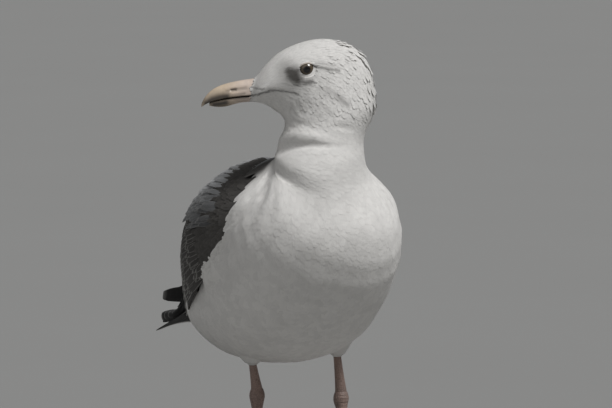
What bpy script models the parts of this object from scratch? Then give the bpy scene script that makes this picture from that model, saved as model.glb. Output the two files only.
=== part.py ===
"""Herring gull, standing, with its head turned to its right: a still, life-size model.

The bird is built in its own frame, in millimetres: the floor at z = 0, the breast towards -Y, the
bird's left at +X. The last step turns that into metres and puts the origin under the middle of the
whole bird. The body is one loft, parted by thin cuts into trunk, neck and head. The folded wings,
the tail, the bill, the eyes and the legs are solids of their own, let into it with a small gap.
"""

import bmesh
import bpy
import numpy as np
from mathutils import Vector

MM = 0.001
GAP = 0.3
CUTTER_GROWTH = 0.5

# Body loft. Each row is one cross-section, placed by the ends of its long diameter: how far ahead
# of the neck's axis the top end is, its height, the same for the under end, then half the width,
# the turn to the bird's right in degrees, how far the widest place sits below the middle, and the
# roundness of the outline, where 2 is an ellipse.
NECK_AXIS_Y = -65.0
BODY_HEIGHT = 3.0
AROUND = 28
TRUNK_ROWS = [
    (-269, 118, -267, 103, 12.0, 0, 0.00, 2.00),
    (-255, 129, -241, 96, 23.0, 0, 0.05, 2.00),
    (-231, 146, -209, 89.5, 33.5, 0, 0.12, 2.10),
    (-199, 167, -171, 84, 45.5, 0, 0.15, 2.20),
    (-164, 195, -126, 81, 58.5, 0, 0.10, 2.35),
    (-130, 223, -82, 84, 67.5, 0, 0.06, 2.35),
    (-97, 239.5, -43, 94, 71.0, 0, 0.04, 2.30),
    (-67, 245.5, -7, 114, 71.0, 0, 0.00, 2.25),
    (-47, 248, 21, 141, 67.5, 0, 0.02, 2.15),
    (-37, 250, 34, 171, 58.5, 0, 0.04, 2.10),
    (-34, 253, 36, 199, 45.5, 2, 0.00, 2.05),
]
NECK_ROWS = [
    (-34, 258, 33, 225, 34.5, 12, 0, 2),
    (-32, 262.5, 36.5, 243, 32.5, 40, 0, 2),
    (-33.5, 268.5, 31.5, 257, 32.0, 68, 0, 2),
    (-37.5, 276, 28, 268, 31.0, 88, 0, 2),
]
HEAD_ROWS = [
    (-40.5, 287, 27.5, 276, 29.0, 102, 0.00, 2),
    (-39.5, 303, 30, 281, 27.0, 108, 0.00, 2),
    (-35, 320.5, 34.5, 284.5, 25.5, 108, 0.00, 2),
    (-21.5, 334, 39.5, 287.8, 24.0, 108, 0.00, 2),
    (0, 338.8, 44, 290, 21.8, 108, 0.05, 2),
    (20, 334.5, 48.5, 291, 18.8, 108, 0.06, 2),
    (34, 327, 51, 291.2, 15.4, 108, 0.04, 2),
    (44, 317, 53, 291.2, 11.4, 108, 0.00, 2),
    (50, 310, 54, 291.3, 8.0, 108, 0.00, 2),
]
HEAD_TURN = 108.0

# Folded wing. Each row is the outer face at one place along the body: Y, the top's height, half the
# width across both wings, the height of the widest place, the lower edge's height, how much of the
# width is left at the lower edge, the upper edge's distance from the mid-plane, and the thickness.
WING_ROWS = [
    (-46, 246, 69.2, 196, 186, 0.975, 27, 8.0),
    (-30, 247.5, 72.8, 190, 170, 0.975, 26, 11.0),
    (0, 247.5, 77.5, 184, 151, 0.970, 25, 13.0),
    (30, 241.5, 78.5, 177, 135, 0.955, 24, 13.0),
    (60, 230, 73.8, 169, 121, 0.930, 19, 11.0),
    (90, 213, 64.5, 159, 110, 0.905, 9, 9.0),
    (120, 195, 53.0, 148, 106, 0.900, 2, 7.0),
    (150, 177, 42.0, 138, 105.5, 0.880, 0.8, 6.0),
    (180, 160, 33.5, 130, 106, 0.850, 0.8, 5.0),
    (215, 141, 26.5, 121, 110, 0.850, 0.8, 4.5),
    (250, 130, 20.5, 116.5, 108, 0.850, 0.8, 4.0),
    (290, 121, 14.5, 111.5, 105, 0.850, 0.8, 3.5),
    (330, 114, 9.5, 108.5, 102.5, 0.900, 0.8, 3.0),
]
WING_ROUNDNESS = 2.25
WING_UPPER_SHARE = 0.62
WING_EDGE_THICKNESS = 0.3
WRIST_BOW = 13.0
TERTIAL_TIP_Y = 190.0
WING_CUT_SLANT = 75.0
PRIMARY_TIP_Y = 330.0
WING_TIP_ROUNDING = 10.0

# Tail: a slightly roofed plate of folded feathers.
TAIL_ROOT = (150.0, 133.0)
TAIL_TIP = (281.0, 87.0)
TAIL_HALF_WIDTHS = (14.0, 31.0)
TAIL_THICKNESSES = (4.0, 1.6)
TAIL_ROOF = 5.0
TAIL_CORNER_DROP = 5.0

# Bill, along the head's own axis: distance ahead of the neck's axis, the upper line, the lower
# line and half the width. The base lies against the face, which slants back towards the forehead.
BILL_BASE_LOW = 291.3
BILL_BASE_SLANT = 0.214
BILL_MEETING_FLATNESS = 0.12
UPPER_BILL_ROWS = [
    (54.4, 309.0, 295.8, 7.3),
    (62.0, 307.9, 295.2, 6.9),
    (70.0, 306.2, 294.2, 6.2),
    (77.0, 304.0, 292.8, 5.4),
    (83.0, 300.7, 291.2, 4.4),
    (87.3, 296.2, 289.4, 3.1),
    (89.8, 291.8, 287.8, 1.8),
    (90.8, 289.2, 287.2, 0.8),
]
LOWER_BILL_ROWS = [
    (54.4, 295.4, 291.2, 6.7),
    (62.0, 294.8, 290.4, 6.2),
    (69.0, 293.9, 288.4, 5.5),
    (75.4, 292.7, 287.3, 4.6),
    (81.0, 291.1, 287.6, 3.4),
    (84.8, 289.7, 288.3, 2.0),
]

EYE_AHEAD = 11.0
EYE_HEIGHT = 317.0
EYE_ASIDE = 16.2
EYE_RADIUS = 7.2
ORBIT_ASIDE = 34.0
ORBIT_RADIUS = 14.0

# Legs. Each side has its ankle's place, its foot's place and heading, and the top of its thigh. The
# radii are half the width and half the depth: down the thigh, down the bare shank, from the ankle's
# own top to a little under it, and then by share of the way down the tarsus to the foot.
ANKLES = {"right": (-21.7, 29.0, 59.5), "left": (46.3, 27.0, 55.0)}
FEET = {"right": (-22.5, 25.5, -12.0), "left": (48.5, 20.5, 10.0)}
THIGH_TOPS = {"right": (-30.0, 26.0, 112.0), "left": (40.0, 24.0, 112.0)}
THIGH_LOW = {"right": 95.5, "left": 100.0}
CUFF_DEPTH = 8.0
THIGH_RADII = [(16.0, 19.0), (14.0, 16.5), (10.5, 12.0), (5.0, 5.6)]
SHANK_RADII = [(2.9, 3.2), (3.5, 3.8), (4.6, 4.8)]
ANKLE_TOP = 6.5
ANKLE_ROWS = [(ANKLE_TOP - GAP, 4.7, 4.9), (3.0, 5.7, 6.0), (0.0, 6.0, 6.2), (-4.0, 5.2, 5.6)]
TARSUS_ROWS = [(0.25, 3.6, 4.4), (0.5, 2.9, 3.9), (0.75, 3.0, 3.8), (0.9, 3.7, 4.2), (1.0, 4.0, 4.0)]

# Feet. A toe is its bearing from the foot's heading, outwards, and its length, from the inner toe to
# the outer; its ridge thins and narrows towards the tip. The hind toe is short and set above the
# foot, at the back of the tarsus.
OUTWARDS = {"right": -1, "left": 1}
SOLE_TOP = 6.0
TOES = [(-27.0, 43.0), (0.0, 51.0), (26.0, 47.0)]
TOE_HALF_WIDTH = 3.3
TOE_NARROWING = 0.3
TOE_THICKNESSES = (4.6, 3.2)
TOE_END_SLOPE = 3.0
TOE_FLANK_ANGLES = (-8.5, -4.5, -2.0, 0.0, 2.0, 4.5, 8.5)
HEEL_BEARINGS = [180.0, -140.0, -100.0, -60.0, 60.0, 100.0, 140.0]
FOOT_RING_SHARES = (0.12, 0.3, 0.55, 0.78, 0.93, 1.0)
WEB_THICKNESS = 1.2
WEB_SCALLOP = 0.12
HEEL_RADIUS = 4.6
KNOB_RADIUS = 6.1
CLAW_LENGTH = 7.5
CLAW_RADIUS = 1.5
CLAW_HEIGHT = 1.9
CLAW_DIP = 0.5
HIND_TOE_START = (6.5, 11.5)
HIND_TOE_REACH = 7.5
HIND_TOE_DROP = 3.5
HIND_TOE_RADII = [(0.0, 2.2), (0.4, 2.3), (0.8, 2.0), (1.0, 1.5)]
HIND_CLAW_LENGTH = 4.0
HIND_CLAW_RADIUS = 1.1
HIND_CLAW_DIP = 5.0

WHITE = (0.84, 0.83, 0.80)
GREY = (0.42, 0.44, 0.46)
BLACK = (0.03, 0.03, 0.03)
BILL_PINK = (0.62, 0.50, 0.40)
IRIS = (0.20, 0.16, 0.09)
LEG_PINK = (0.52, 0.38, 0.34)
HORN = (0.05, 0.045, 0.04)


def clear_scene():
    for item in list(bpy.data.objects):
        bpy.data.objects.remove(item, do_unlink=True)


def new_collection(name):
    group = bpy.data.collections.new(name)
    bpy.context.scene.collection.children.link(group)
    return group


def finish(name, colour, roughness):
    """A Principled material in one colour."""
    material = bpy.data.materials.new(name + "_finish")
    material.use_nodes = True
    shader = material.node_tree.nodes["Principled BSDF"]
    shader.inputs["Base Color"].default_value = (*colour, 1.0)
    shader.inputs["Roughness"].default_value = roughness
    shader.inputs["Metallic"].default_value = 0.0
    return material


def spline(knots, values, at):
    """Natural cubic spline through the rows of values at the knots, read at the places given."""
    knots = np.asarray(knots, float)
    values = np.asarray(values, float)
    at = np.asarray(at, float)
    count = len(knots)
    step = np.diff(knots)
    slope = np.diff(values, axis=0) / step[:, None]
    system = np.eye(count)
    right = np.zeros_like(values)
    for i in range(1, count - 1):
        system[i, i - 1:i + 2] = step[i - 1], 2 * (step[i - 1] + step[i]), step[i]
        right[i] = 6 * (slope[i] - slope[i - 1])
    bend = np.linalg.solve(system, right)
    i = np.clip(np.searchsorted(knots, at, side="right") - 1, 0, count - 2)
    h = step[i][:, None]
    a = (knots[i + 1] - at)[:, None] / h
    b = 1 - a
    curve = ((a ** 3 - a) * bend[i] + (b ** 3 - b) * bend[i + 1]) * h ** 2 / 6
    return a * values[i] + b * values[i + 1] + curve


def ahead_vector(turn):
    """Level direction that faces -Y and turns to the bird's right by the angle, in radians."""
    return np.stack([-np.sin(turn), -np.cos(turn), 0 * turn], -1)


def left_vector(turn):
    return np.stack([np.cos(turn), -np.sin(turn), 0 * turn], -1)


def rounded(value, roundness):
    """Superellipse coordinate of a cosine or sine."""
    return np.sign(value) * np.abs(value) ** (2 / roundness)


BODY_ROWS = np.array(TRUNK_ROWS + NECK_ROWS + HEAD_ROWS, float)
NECK_START = len(TRUNK_ROWS) - 0.7
HEAD_START = len(TRUNK_ROWS) + len(NECK_ROWS) - 0.4
BODY_END = len(BODY_ROWS) - 1.0


def body_rings(u):
    """Rings of the body: a long diameter from top to underside and a width across it, both read
    from the splined rows. Around the ring, 0 is the top and a quarter turn is the bird's left."""
    row = spline(np.arange(len(BODY_ROWS)), BODY_ROWS, u)
    turn = np.radians(row[:, 5])
    axis = np.array([0.0, NECK_AXIS_Y, BODY_HEIGHT])
    top = axis + ahead_vector(turn) * row[:, 0:1] + np.outer(row[:, 1], [0, 0, 1])
    under = axis + ahead_vector(turn) * row[:, 2:3] + np.outer(row[:, 3], [0, 0, 1])
    angle = np.linspace(0, 2 * np.pi, AROUND, endpoint=False)
    up = rounded(np.cos(angle)[None], row[:, 7:8])
    side = rounded(np.sin(angle)[None], row[:, 7:8])
    width = row[:, 4:5] * (1 - row[:, 6:7] * up) * side
    middle = (top + under) / 2
    half = (top - under) / 2
    return middle[:, None] + half[:, None] * up[..., None] + left_vector(turn)[:, None] * width[..., None]


def shifted(ring, towards, distance):
    """A flat ring moved along its own normal, to the side of the point given."""
    centre = ring.mean(0)
    quarter = len(ring) // 4
    normal = np.cross(ring[0] - centre, ring[quarter] - centre)
    normal /= np.linalg.norm(normal)
    if normal @ (towards - centre) < 0:
        normal = -normal
    return ring + normal * distance


def add_object(name, verts, faces, colour, roughness, group):
    mesh = bpy.data.meshes.new(name)
    mesh.from_pydata([tuple(v) for v in np.asarray(verts) * MM], [], faces)
    shape = bmesh.new()
    shape.from_mesh(mesh)
    bmesh.ops.recalc_face_normals(shape, faces=shape.faces)
    shape.to_mesh(mesh)
    shape.free()
    item = bpy.data.objects.new(name, mesh)
    group.objects.link(item)
    mesh.shade_smooth()
    mesh.set_sharp_from_angle(angle=np.radians(40))
    mesh.materials.append(finish(name, colour, roughness))
    return item


def ring_faces(rows, around, first=0):
    """Quads between one closed ring and the next."""
    faces = []
    for i in range(rows - 1):
        for j in range(around):
            a = first + i * around + j
            b = first + i * around + (j + 1) % around
            faces.append((a, b, b + around, a + around))
    return faces


def loft(name, rings, colour, roughness, group):
    """Closed body through a list of rings, with a flat cap at each end."""
    rows, around = rings.shape[:2]
    faces = ring_faces(rows, around)
    faces.append(tuple(range(around)))
    faces.append(tuple(range((rows - 1) * around, rows * around)))
    return add_object(name, rings.reshape(-1, 3), faces, colour, roughness, group)


def plate(name, outer, inner, colour, roughness, group):
    """Closed body between two open grids of the same size, walled round their edge."""
    rows, columns = outer.shape[:2]
    count = rows * columns
    faces = []
    for i in range(rows - 1):
        for j in range(columns - 1):
            a = i * columns + j
            faces.append((a, a + 1, a + columns + 1, a + columns))
            faces.append((count + a, count + a + columns, count + a + columns + 1, count + a + 1))
    edge = list(range(columns))
    edge += [i * columns + columns - 1 for i in range(1, rows)]
    edge += [(rows - 1) * columns + j for j in range(columns - 2, -1, -1)]
    edge += [i * columns for i in range(rows - 2, 0, -1)]
    for a, b in zip(edge, edge[1:] + edge[:1]):
        faces.append((a, b, count + b, count + a))
    verts = np.concatenate([outer.reshape(-1, 3), inner.reshape(-1, 3)])
    return add_object(name, verts, faces, colour, roughness, group)


def as_cutter(item):
    item.hide_render = True
    item.display_type = "WIRE"


def ball(name, centre, radius, group):
    mesh = bpy.data.meshes.new(name)
    shape = bmesh.new()
    bmesh.ops.create_uvsphere(shape, u_segments=14, v_segments=8, radius=radius * MM)
    bmesh.ops.translate(shape, verts=shape.verts, vec=Vector(centre * MM))
    shape.to_mesh(mesh)
    shape.free()
    mesh.shade_smooth()
    item = bpy.data.objects.new(name, mesh)
    group.objects.link(item)
    return item


def cutter_from(source, growth, group):
    """A copy of a piece, grown outwards by the distance, to cut its bed in another."""
    name = source.name + "_bed"
    shape = bmesh.new()
    shape.from_mesh(source.data)
    shape.normal_update()
    moves = [(vert, vert.normal * growth * MM) for vert in shape.verts]
    for vert, move in moves:
        vert.co += move
    mesh = bpy.data.meshes.new(name)
    shape.to_mesh(mesh)
    shape.free()
    item = bpy.data.objects.new(name, mesh)
    group.objects.link(item)
    as_cutter(item)
    return item


def cut(item, cutter):
    modifier = item.modifiers.new("cut_" + cutter.name, "BOOLEAN")
    modifier.operation = "DIFFERENCE"
    modifier.solver = "EXACT"
    modifier.object = cutter


def wing_half_section(y, across, inset):
    """Outer face of the right-hand half of the folded wings at each Y, from the upper edge, across
    the widest place, to the lower edge. The inset moves it in along its own normal."""
    row = spline([r[0] for r in WING_ROWS], [r[1:] for r in WING_ROWS], y)
    top, wide, middle, low, tuck, start = (row[:, i:i + 1] for i in range(6))
    first = np.arcsin((start / wide) ** (WING_ROUNDNESS / 2))
    last = np.arccos(tuck)
    upper = np.clip(across / WING_UPPER_SHARE, 0, 1)[None]
    lower = np.clip((across - WING_UPPER_SHARE) / (1 - WING_UPPER_SHARE), 0, 1)[None]
    angle = first + (np.pi / 2 - first) * upper
    drop = last * lower
    x = wide * rounded(np.sin(angle), WING_ROUNDNESS) * np.cos(drop)
    z = middle + (top - middle) * rounded(np.cos(angle), WING_ROUNDNESS)
    z = z - (middle - low) * np.sin(drop) / np.sin(last)
    dx = np.gradient(x, axis=1)
    dz = np.gradient(z, axis=1)
    length = np.hypot(dx, dz)
    return x + dz / length * inset, z - dx / length * inset


def wing_grids(side, start, end, rows, columns):
    """Outer and inner grids of a stretch of wing. start and end give Y for each place across."""
    across = np.linspace(0, 1, columns)
    along = np.linspace(0, 1, rows)
    y = start(across)[None] + (end(across) - start(across))[None] * along[:, None]
    thick = spline([r[0] for r in WING_ROWS], [r[7:8] for r in WING_ROWS], y.ravel()).reshape(y.shape)
    edge = WING_EDGE_THICKNESS + (1 - WING_EDGE_THICKNESS) * np.sin(np.pi * across) ** 0.7
    outer = np.zeros((rows, columns, 3))
    inner = np.zeros((rows, columns, 3))
    for j in range(columns):
        for grid, inset in ((outer, 0 * y[:, j]), (inner, thick[:, j] * edge[j])):
            x, z = wing_half_section(y[:, j], across, inset[:, None])
            x = np.maximum(x[:, j], GAP + 0.1)
            grid[:, j] = np.stack([side * x, y[:, j], z[:, j] + BODY_HEIGHT], -1)
    return outer, inner


def wrist_y(across):
    """Front edge of the wing, bowed forwards at the wrist."""
    return WING_ROWS[0][0] + WRIST_BOW * (2 * across - 1) ** 2


def tertial_y(across):
    """Slanting line where the tertials and secondaries end over the primaries."""
    return TERTIAL_TIP_Y - WING_CUT_SLANT * across


def behind_tertials_y(across):
    """The same line moved back, so that the slanting gap is still wide enough square to itself."""
    return tertial_y(across) + 4 * GAP


def wing_tip_y(across):
    """Rounded end of the folded primaries."""
    return PRIMARY_TIP_Y - WING_TIP_ROUNDING * (2 * across - 1) ** 2


def tail_grids(rows=8, columns=9):
    """Plate that falls from its root to its tip, roofed across, with the corners a little short."""
    along = np.linspace(0, 1, rows)[:, None]
    across = np.linspace(-1, 1, columns)[None]
    x = across * (TAIL_HALF_WIDTHS[0] + (TAIL_HALF_WIDTHS[1] - TAIL_HALF_WIDTHS[0]) * along)
    y = TAIL_ROOT[0] + (TAIL_TIP[0] - TAIL_ROOT[0]) * along - TAIL_CORNER_DROP * across ** 2 * along
    z = TAIL_ROOT[1] + (TAIL_TIP[1] - TAIL_ROOT[1]) * along - TAIL_ROOF * across ** 2 + 0 * x
    half = (TAIL_THICKNESSES[0] + (TAIL_THICKNESSES[1] - TAIL_THICKNESSES[0]) * along) / 2
    upper = np.stack([x, y, z + half + BODY_HEIGHT], -1)
    lower = np.stack([x, y, z - half + BODY_HEIGHT], -1)
    return upper, lower


def head_point(ahead, aside, height):
    """Point in the head's own directions: ahead of the neck's axis, to its left, and up."""
    turn = np.radians(HEAD_TURN)
    axis = np.array([0.0, NECK_AXIS_Y, BODY_HEIGHT])
    ahead, aside, height = np.broadcast_arrays(ahead, aside, height)
    return (axis + ahead[..., None] * ahead_vector(turn) + aside[..., None] * left_vector(turn)
            + height[..., None] * np.array([0, 0, 1.0]))


def bill_rings(rows, upper, steps=12, around=12):
    """Rings of one half of the bill: rounded on the outside and flat where the two halves meet."""
    table = np.array(rows)
    place = spline(np.arange(len(rows)), table, np.linspace(0, len(rows) - 1, steps))
    angle = np.linspace(0, 2 * np.pi, around, endpoint=False)
    side = np.sin(angle)[None] * place[:, 3:4]
    bow = np.cos(angle)[None]
    high, low = place[:, 1:2], place[:, 2:3]
    widest = BILL_MEETING_FLATNESS if upper else 1 - BILL_MEETING_FLATNESS
    middle = low + (high - low) * widest
    height = middle + np.where(bow > 0, high - middle, middle - low) * bow
    fade = 1 - np.linspace(0, 1, steps)[:, None]
    ahead = place[:, 0:1] - BILL_BASE_SLANT * (height - BILL_BASE_LOW) * fade
    return head_point(ahead, side, height)


def oval_rings(stations, around=12):
    """Level oval rings: each station gives the centre, half the width and half the depth."""
    angle = np.linspace(0, 2 * np.pi, around, endpoint=False)
    rings = []
    for x, y, z, half_width, half_depth in stations:
        rings.append(np.stack([x + half_width * np.cos(angle), y + half_depth * np.sin(angle),
                               z + 0 * angle], -1))
    return np.array(rings)


def between(a, b, share):
    return tuple(p + (q - p) * share for p, q in zip(a, b))


def foot_outline(angle):
    """Reach of the webbed foot at each angle from its heading: the toes, a shallow scallop in each
    web, straight sides along the outer toes and a small round heel."""
    reach = np.full_like(angle, HEEL_RADIUS)
    for (low, low_length), (high, high_length) in zip(TOES, TOES[1:]):
        share = (np.degrees(angle) - low) / (high - low)
        inside = (share >= 0) & (share <= 1)
        length = low_length + (high_length - low_length) * share
        hollow = 1 - WEB_SCALLOP * np.sin(np.pi * np.clip(share, 0, 1)) ** 0.8
        reach = np.where(inside, length * hollow, reach)
    for side, (toe, length) in ((-1, TOES[0]), (1, TOES[-1])):
        off = side * (angle - np.radians(toe))
        beside = (off > 0) & (off < np.pi / 2)
        straight = TOE_HALF_WIDTH / np.maximum(np.sin(np.clip(off, 0.01, np.pi / 2)), 0.01)
        reach = np.where(beside, np.clip(straight, HEEL_RADIUS, length), reach)
    return reach


def foot_height(x, y):
    """Height of the foot's upper face: a low ridge along each toe, a thin web, and the knob where
    the toes meet under the tarsus."""
    height = np.full_like(x, WEB_THICKNESS)
    for toe, length in TOES:
        direction = np.radians(toe)
        along = x * np.sin(direction) + y * np.cos(direction)
        off = x * np.cos(direction) - y * np.sin(direction)
        share = np.clip(along / length, 0, 1)
        radius = TOE_HALF_WIDTH * (1 - TOE_NARROWING * share)
        thick = TOE_THICKNESSES[0] + (TOE_THICKNESSES[1] - TOE_THICKNESSES[0]) * share
        ridge = thick * np.sqrt(np.clip(1 - (off / radius) ** 2, 0, 1))
        end = np.clip((length - along) / TOE_END_SLOPE, 0, 1) ** 0.5
        height = np.where(along > -1, np.maximum(height, ridge * end), height)
    knob = (SOLE_TOP - GAP) * np.sqrt(np.clip(1 - (x ** 2 + y ** 2) / KNOB_RADIUS ** 2, 0, 1))
    return np.maximum(height, knob)


def foot(name, side, group):
    """Webbed foot: a polar grid of its upper face, closed by a flat sole on the floor."""
    x0, y0, heading = FEET[side]
    outwards = OUTWARDS[side]
    bearings = HEEL_BEARINGS + [toe[0] + off for toe in TOES for off in TOE_FLANK_ANGLES]
    angle = np.sort(np.radians(bearings))
    radius = np.array(FOOT_RING_SHARES)[:, None] * foot_outline(angle)[None]
    x = radius * np.sin(angle)[None]
    y = radius * np.cos(angle)[None]
    z = foot_height(x, y)
    turn = np.radians(heading)
    world_x = x0 + outwards * x * np.cos(turn) + y * np.sin(turn)
    world_y = y0 - (y * np.cos(turn) - outwards * x * np.sin(turn))
    top = np.stack([world_x, world_y, z], -1)
    rows, around = x.shape
    rim = np.stack([world_x[-1], world_y[-1], 0 * x[-1]], -1)
    peak = np.array([[x0, y0, SOLE_TOP - GAP]])
    verts = np.concatenate([top.reshape(-1, 3), rim, peak])
    faces = ring_faces(rows + 1, around)
    crown = (rows + 1) * around
    faces += [(j, (j + 1) % around, crown) for j in range(around)]
    faces.append(tuple(range(rows * around, (rows + 1) * around)))
    return add_object(name, verts, faces, LEG_PINK, 0.55, group)


def claw(name, base, direction, group, length=CLAW_LENGTH, radius=CLAW_RADIUS, dip=CLAW_DIP):
    """Curved claw that tapers from its base and bends down to a point the dip above the floor."""
    share = np.linspace(0, 1, 5)
    direction = np.array([*direction, 0.0]) / np.hypot(*direction)
    side = np.array([-direction[1], direction[0], 0.0])
    angle = np.linspace(0, 2 * np.pi, 8, endpoint=False)
    rings = []
    for s in share:
        centre = np.array(base) + direction * length * s
        centre[2] = base[2] - (base[2] - radius * 0.2 - dip) * s ** 2
        r = radius * (1 - 0.85 * s ** 1.3)
        rings.append(centre + r * (np.outer(np.cos(angle), side) + np.outer(np.sin(angle), [0, 0, 1])))
    return loft(name, np.array(rings), HORN, 0.35, group)


def build():
    clear_scene()
    bird = new_collection("herring_gull")
    tools = new_collection("cutters")

    # Trunk, neck and head: one loft in three lengths.
    trunk_rings = body_rings(np.linspace(0, NECK_START, 22))
    neck_rings = body_rings(np.linspace(NECK_START, HEAD_START, 9))
    head_rings = body_rings(np.linspace(HEAD_START, BODY_END, 17))
    neck_rings[0] = shifted(neck_rings[0], neck_rings[2].mean(0), GAP)
    head_rings[0] = shifted(head_rings[0], head_rings[2].mean(0), GAP)
    trunk = loft("trunk", trunk_rings, WHITE, 0.9, bird)
    loft("neck", neck_rings, WHITE, 0.9, bird)
    head = loft("head", head_rings, WHITE, 0.9, bird)

    # Wings: the arm with its coverts and tertials, then the primaries.
    wings = []
    for side, sign in OUTWARDS.items():
        outer, inner = wing_grids(sign, wrist_y, tertial_y, 16, 11)
        wings.append(plate("wing_" + side, outer, inner, GREY, 0.9, bird))
        outer, inner = wing_grids(sign, behind_tertials_y, wing_tip_y, 10, 11)
        wings.append(plate("primaries_" + side, outer, inner, BLACK, 0.8, bird))

    upper, lower = tail_grids()
    tail = plate("tail", upper, lower, BLACK, 0.85, bird)
    for piece in wings + [tail]:
        cut(trunk, cutter_from(piece, CUTTER_GROWTH, tools))

    # Bill.
    loft("upper_bill", bill_rings(UPPER_BILL_ROWS, True), BILL_PINK, 0.4, bird)
    loft("lower_bill", bill_rings(LOWER_BILL_ROWS, False), BILL_PINK, 0.4, bird)

    # Eyes, each let into a shallow orbit in the head.
    for side, sign in OUTWARDS.items():
        orbit = ball("orbit_" + side, head_point(EYE_AHEAD, sign * ORBIT_ASIDE, EYE_HEIGHT), ORBIT_RADIUS, tools)
        as_cutter(orbit)
        cut(head, orbit)
        eye = ball("eye_" + side, head_point(EYE_AHEAD, sign * EYE_ASIDE, EYE_HEIGHT), EYE_RADIUS, bird)
        eye.data.materials.append(finish(eye.name, IRIS, 0.1))
        cut(head, cutter_from(eye, CUTTER_GROWTH, tools))

    # Legs.
    body_cutter = cutter_from(trunk, CUTTER_GROWTH, tools)
    for side in OUTWARDS:
        build_leg(side, body_cutter, bird)

    settle(bird, tools)


def build_leg(side, body_cutter, group):
    """One leg: feathered thigh, bare shank, tarsus, webbed foot, four claws and the hind toe."""
    ankle = ANKLES[side]
    top = THIGH_TOPS[side]
    foot_x, foot_y, heading = FEET[side]
    turn = np.radians(heading)

    rise = top[2] - ankle[2]
    knee_end = between(ankle, top, (THIGH_LOW[side] - ankle[2]) / rise)
    cuff = between(ankle, top, (THIGH_LOW[side] - CUFF_DEPTH - ankle[2]) / rise)
    places = (top, between(top, knee_end, 0.5), knee_end, cuff)
    stations = [(*place, *radii) for place, radii in zip(places, THIGH_RADII)]
    cut(loft("thigh_" + side, oval_rings(stations, 16), WHITE, 0.9, group), body_cutter)

    shank_top = (cuff[0], cuff[1], cuff[2] - GAP)
    shank_low = (ankle[0], ankle[1], ankle[2] + ANKLE_TOP)
    places = (shank_top, between(shank_top, shank_low, 0.5), shank_low)
    stations = [(*place, *radii) for place, radii in zip(places, SHANK_RADII)]
    loft("shank_" + side, oval_rings(stations), LEG_PINK, 0.55, group)

    sole_top = (foot_x, foot_y, SOLE_TOP)
    stations = [(ankle[0], ankle[1], ankle[2] + above, *radii) for above, *radii in ANKLE_ROWS]
    stations += [(*between(ankle, sole_top, share), *radii) for share, *radii in TARSUS_ROWS]
    loft("tarsus_" + side, oval_rings(stations), LEG_PINK, 0.55, group)

    foot("foot_" + side, side, group)
    for place, (toe, length) in zip(("inner", "middle", "outer"), TOES):
        bearing = OUTWARDS[side] * np.radians(toe) + turn
        direction = (np.sin(bearing), -np.cos(bearing))
        reach = length + GAP
        base = (foot_x + direction[0] * reach, foot_y + direction[1] * reach, CLAW_HEIGHT)
        claw("claw_" + place + "_" + side, base, direction, group)

    back = np.array([-np.sin(turn), np.cos(turn), 0.0])
    across = np.array([-back[1], back[0], 0.0])
    start = np.array([foot_x, foot_y, HIND_TOE_START[1]]) + back * HIND_TOE_START[0]
    angle = np.linspace(0, 2 * np.pi, 8, endpoint=False)
    round_it = np.outer(np.cos(angle), across) + np.outer(np.sin(angle), [0, 0, 1])
    rings = []
    for share, radius in HIND_TOE_RADII:
        centre = start + back * HIND_TOE_REACH * share - np.array([0, 0, HIND_TOE_DROP * share])
        rings.append(centre + radius * round_it)
    loft("hind_toe_" + side, np.array(rings), LEG_PINK, 0.55, group)
    base = start + back * (HIND_TOE_REACH + GAP) - np.array([0, 0, HIND_TOE_DROP])
    claw("hind_claw_" + side, base, back[:2], group, HIND_CLAW_LENGTH, HIND_CLAW_RADIUS, HIND_CLAW_DIP)


def settle(group, tools):
    """Moves every mesh so that the origin is on the floor under the middle of the bird."""
    low = np.full(3, np.inf)
    high = np.full(3, -np.inf)
    for item in group.objects:
        corners = np.array([vert.co for vert in item.data.vertices])
        low = np.minimum(low, corners.min(0))
        high = np.maximum(high, corners.max(0))
    offset = Vector((-(low[0] + high[0]) / 2, -(low[1] + high[1]) / 2, -low[2]))
    for item in list(group.objects) + list(tools.objects):
        for vert in item.data.vertices:
            vert.co += offset
        item.data.update()


build()
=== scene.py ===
"""Looks of the standing herring gull: one skin, a coat of separate feather vanes over it, the quills of
the wings and tail, the bill, the eyes and the legs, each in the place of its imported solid."""

import bpy
import numpy as np
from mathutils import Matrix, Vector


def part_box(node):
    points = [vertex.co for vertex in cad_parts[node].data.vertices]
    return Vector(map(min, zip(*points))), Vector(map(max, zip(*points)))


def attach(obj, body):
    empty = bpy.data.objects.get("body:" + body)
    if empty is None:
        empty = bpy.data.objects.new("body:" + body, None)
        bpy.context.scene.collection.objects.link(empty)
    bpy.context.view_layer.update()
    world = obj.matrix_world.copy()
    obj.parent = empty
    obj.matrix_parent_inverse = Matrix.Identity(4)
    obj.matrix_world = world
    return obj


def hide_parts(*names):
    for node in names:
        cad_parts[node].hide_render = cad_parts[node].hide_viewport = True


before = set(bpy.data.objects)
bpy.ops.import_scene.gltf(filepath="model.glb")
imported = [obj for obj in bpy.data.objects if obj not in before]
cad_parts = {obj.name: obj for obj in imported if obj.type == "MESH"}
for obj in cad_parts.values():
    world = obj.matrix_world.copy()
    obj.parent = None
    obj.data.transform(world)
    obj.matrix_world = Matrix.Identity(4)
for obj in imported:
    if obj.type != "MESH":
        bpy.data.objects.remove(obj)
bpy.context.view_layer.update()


# Studio. A wide pale floor, a large soft lamp high on the bird's left, a weak one opposite it and a
# pale sky. The camera stands well back, a little above the bird's own height.
MM = 0.001
low_corner, high_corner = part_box("trunk")
BREAST_FRONT = 101.334                  # mm ahead of the shoulder line, at the front of the trunk
HOME = np.array([(low_corner.x + high_corner.x) / 2, low_corner.y + BREAST_FRONT * MM, 0.0])

CAMERA_TURN = np.radians(-18.0)
CAMERA_RISE = np.radians(5.0)
CAMERA_DISTANCE = 4000.0
CAMERA_AIM = np.array([8.8, 0.0, 211.0])
CAMERA_VIEW_WIDTH = 471.2               # mm across the picture at the aim
SENSOR = 36.0


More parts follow.
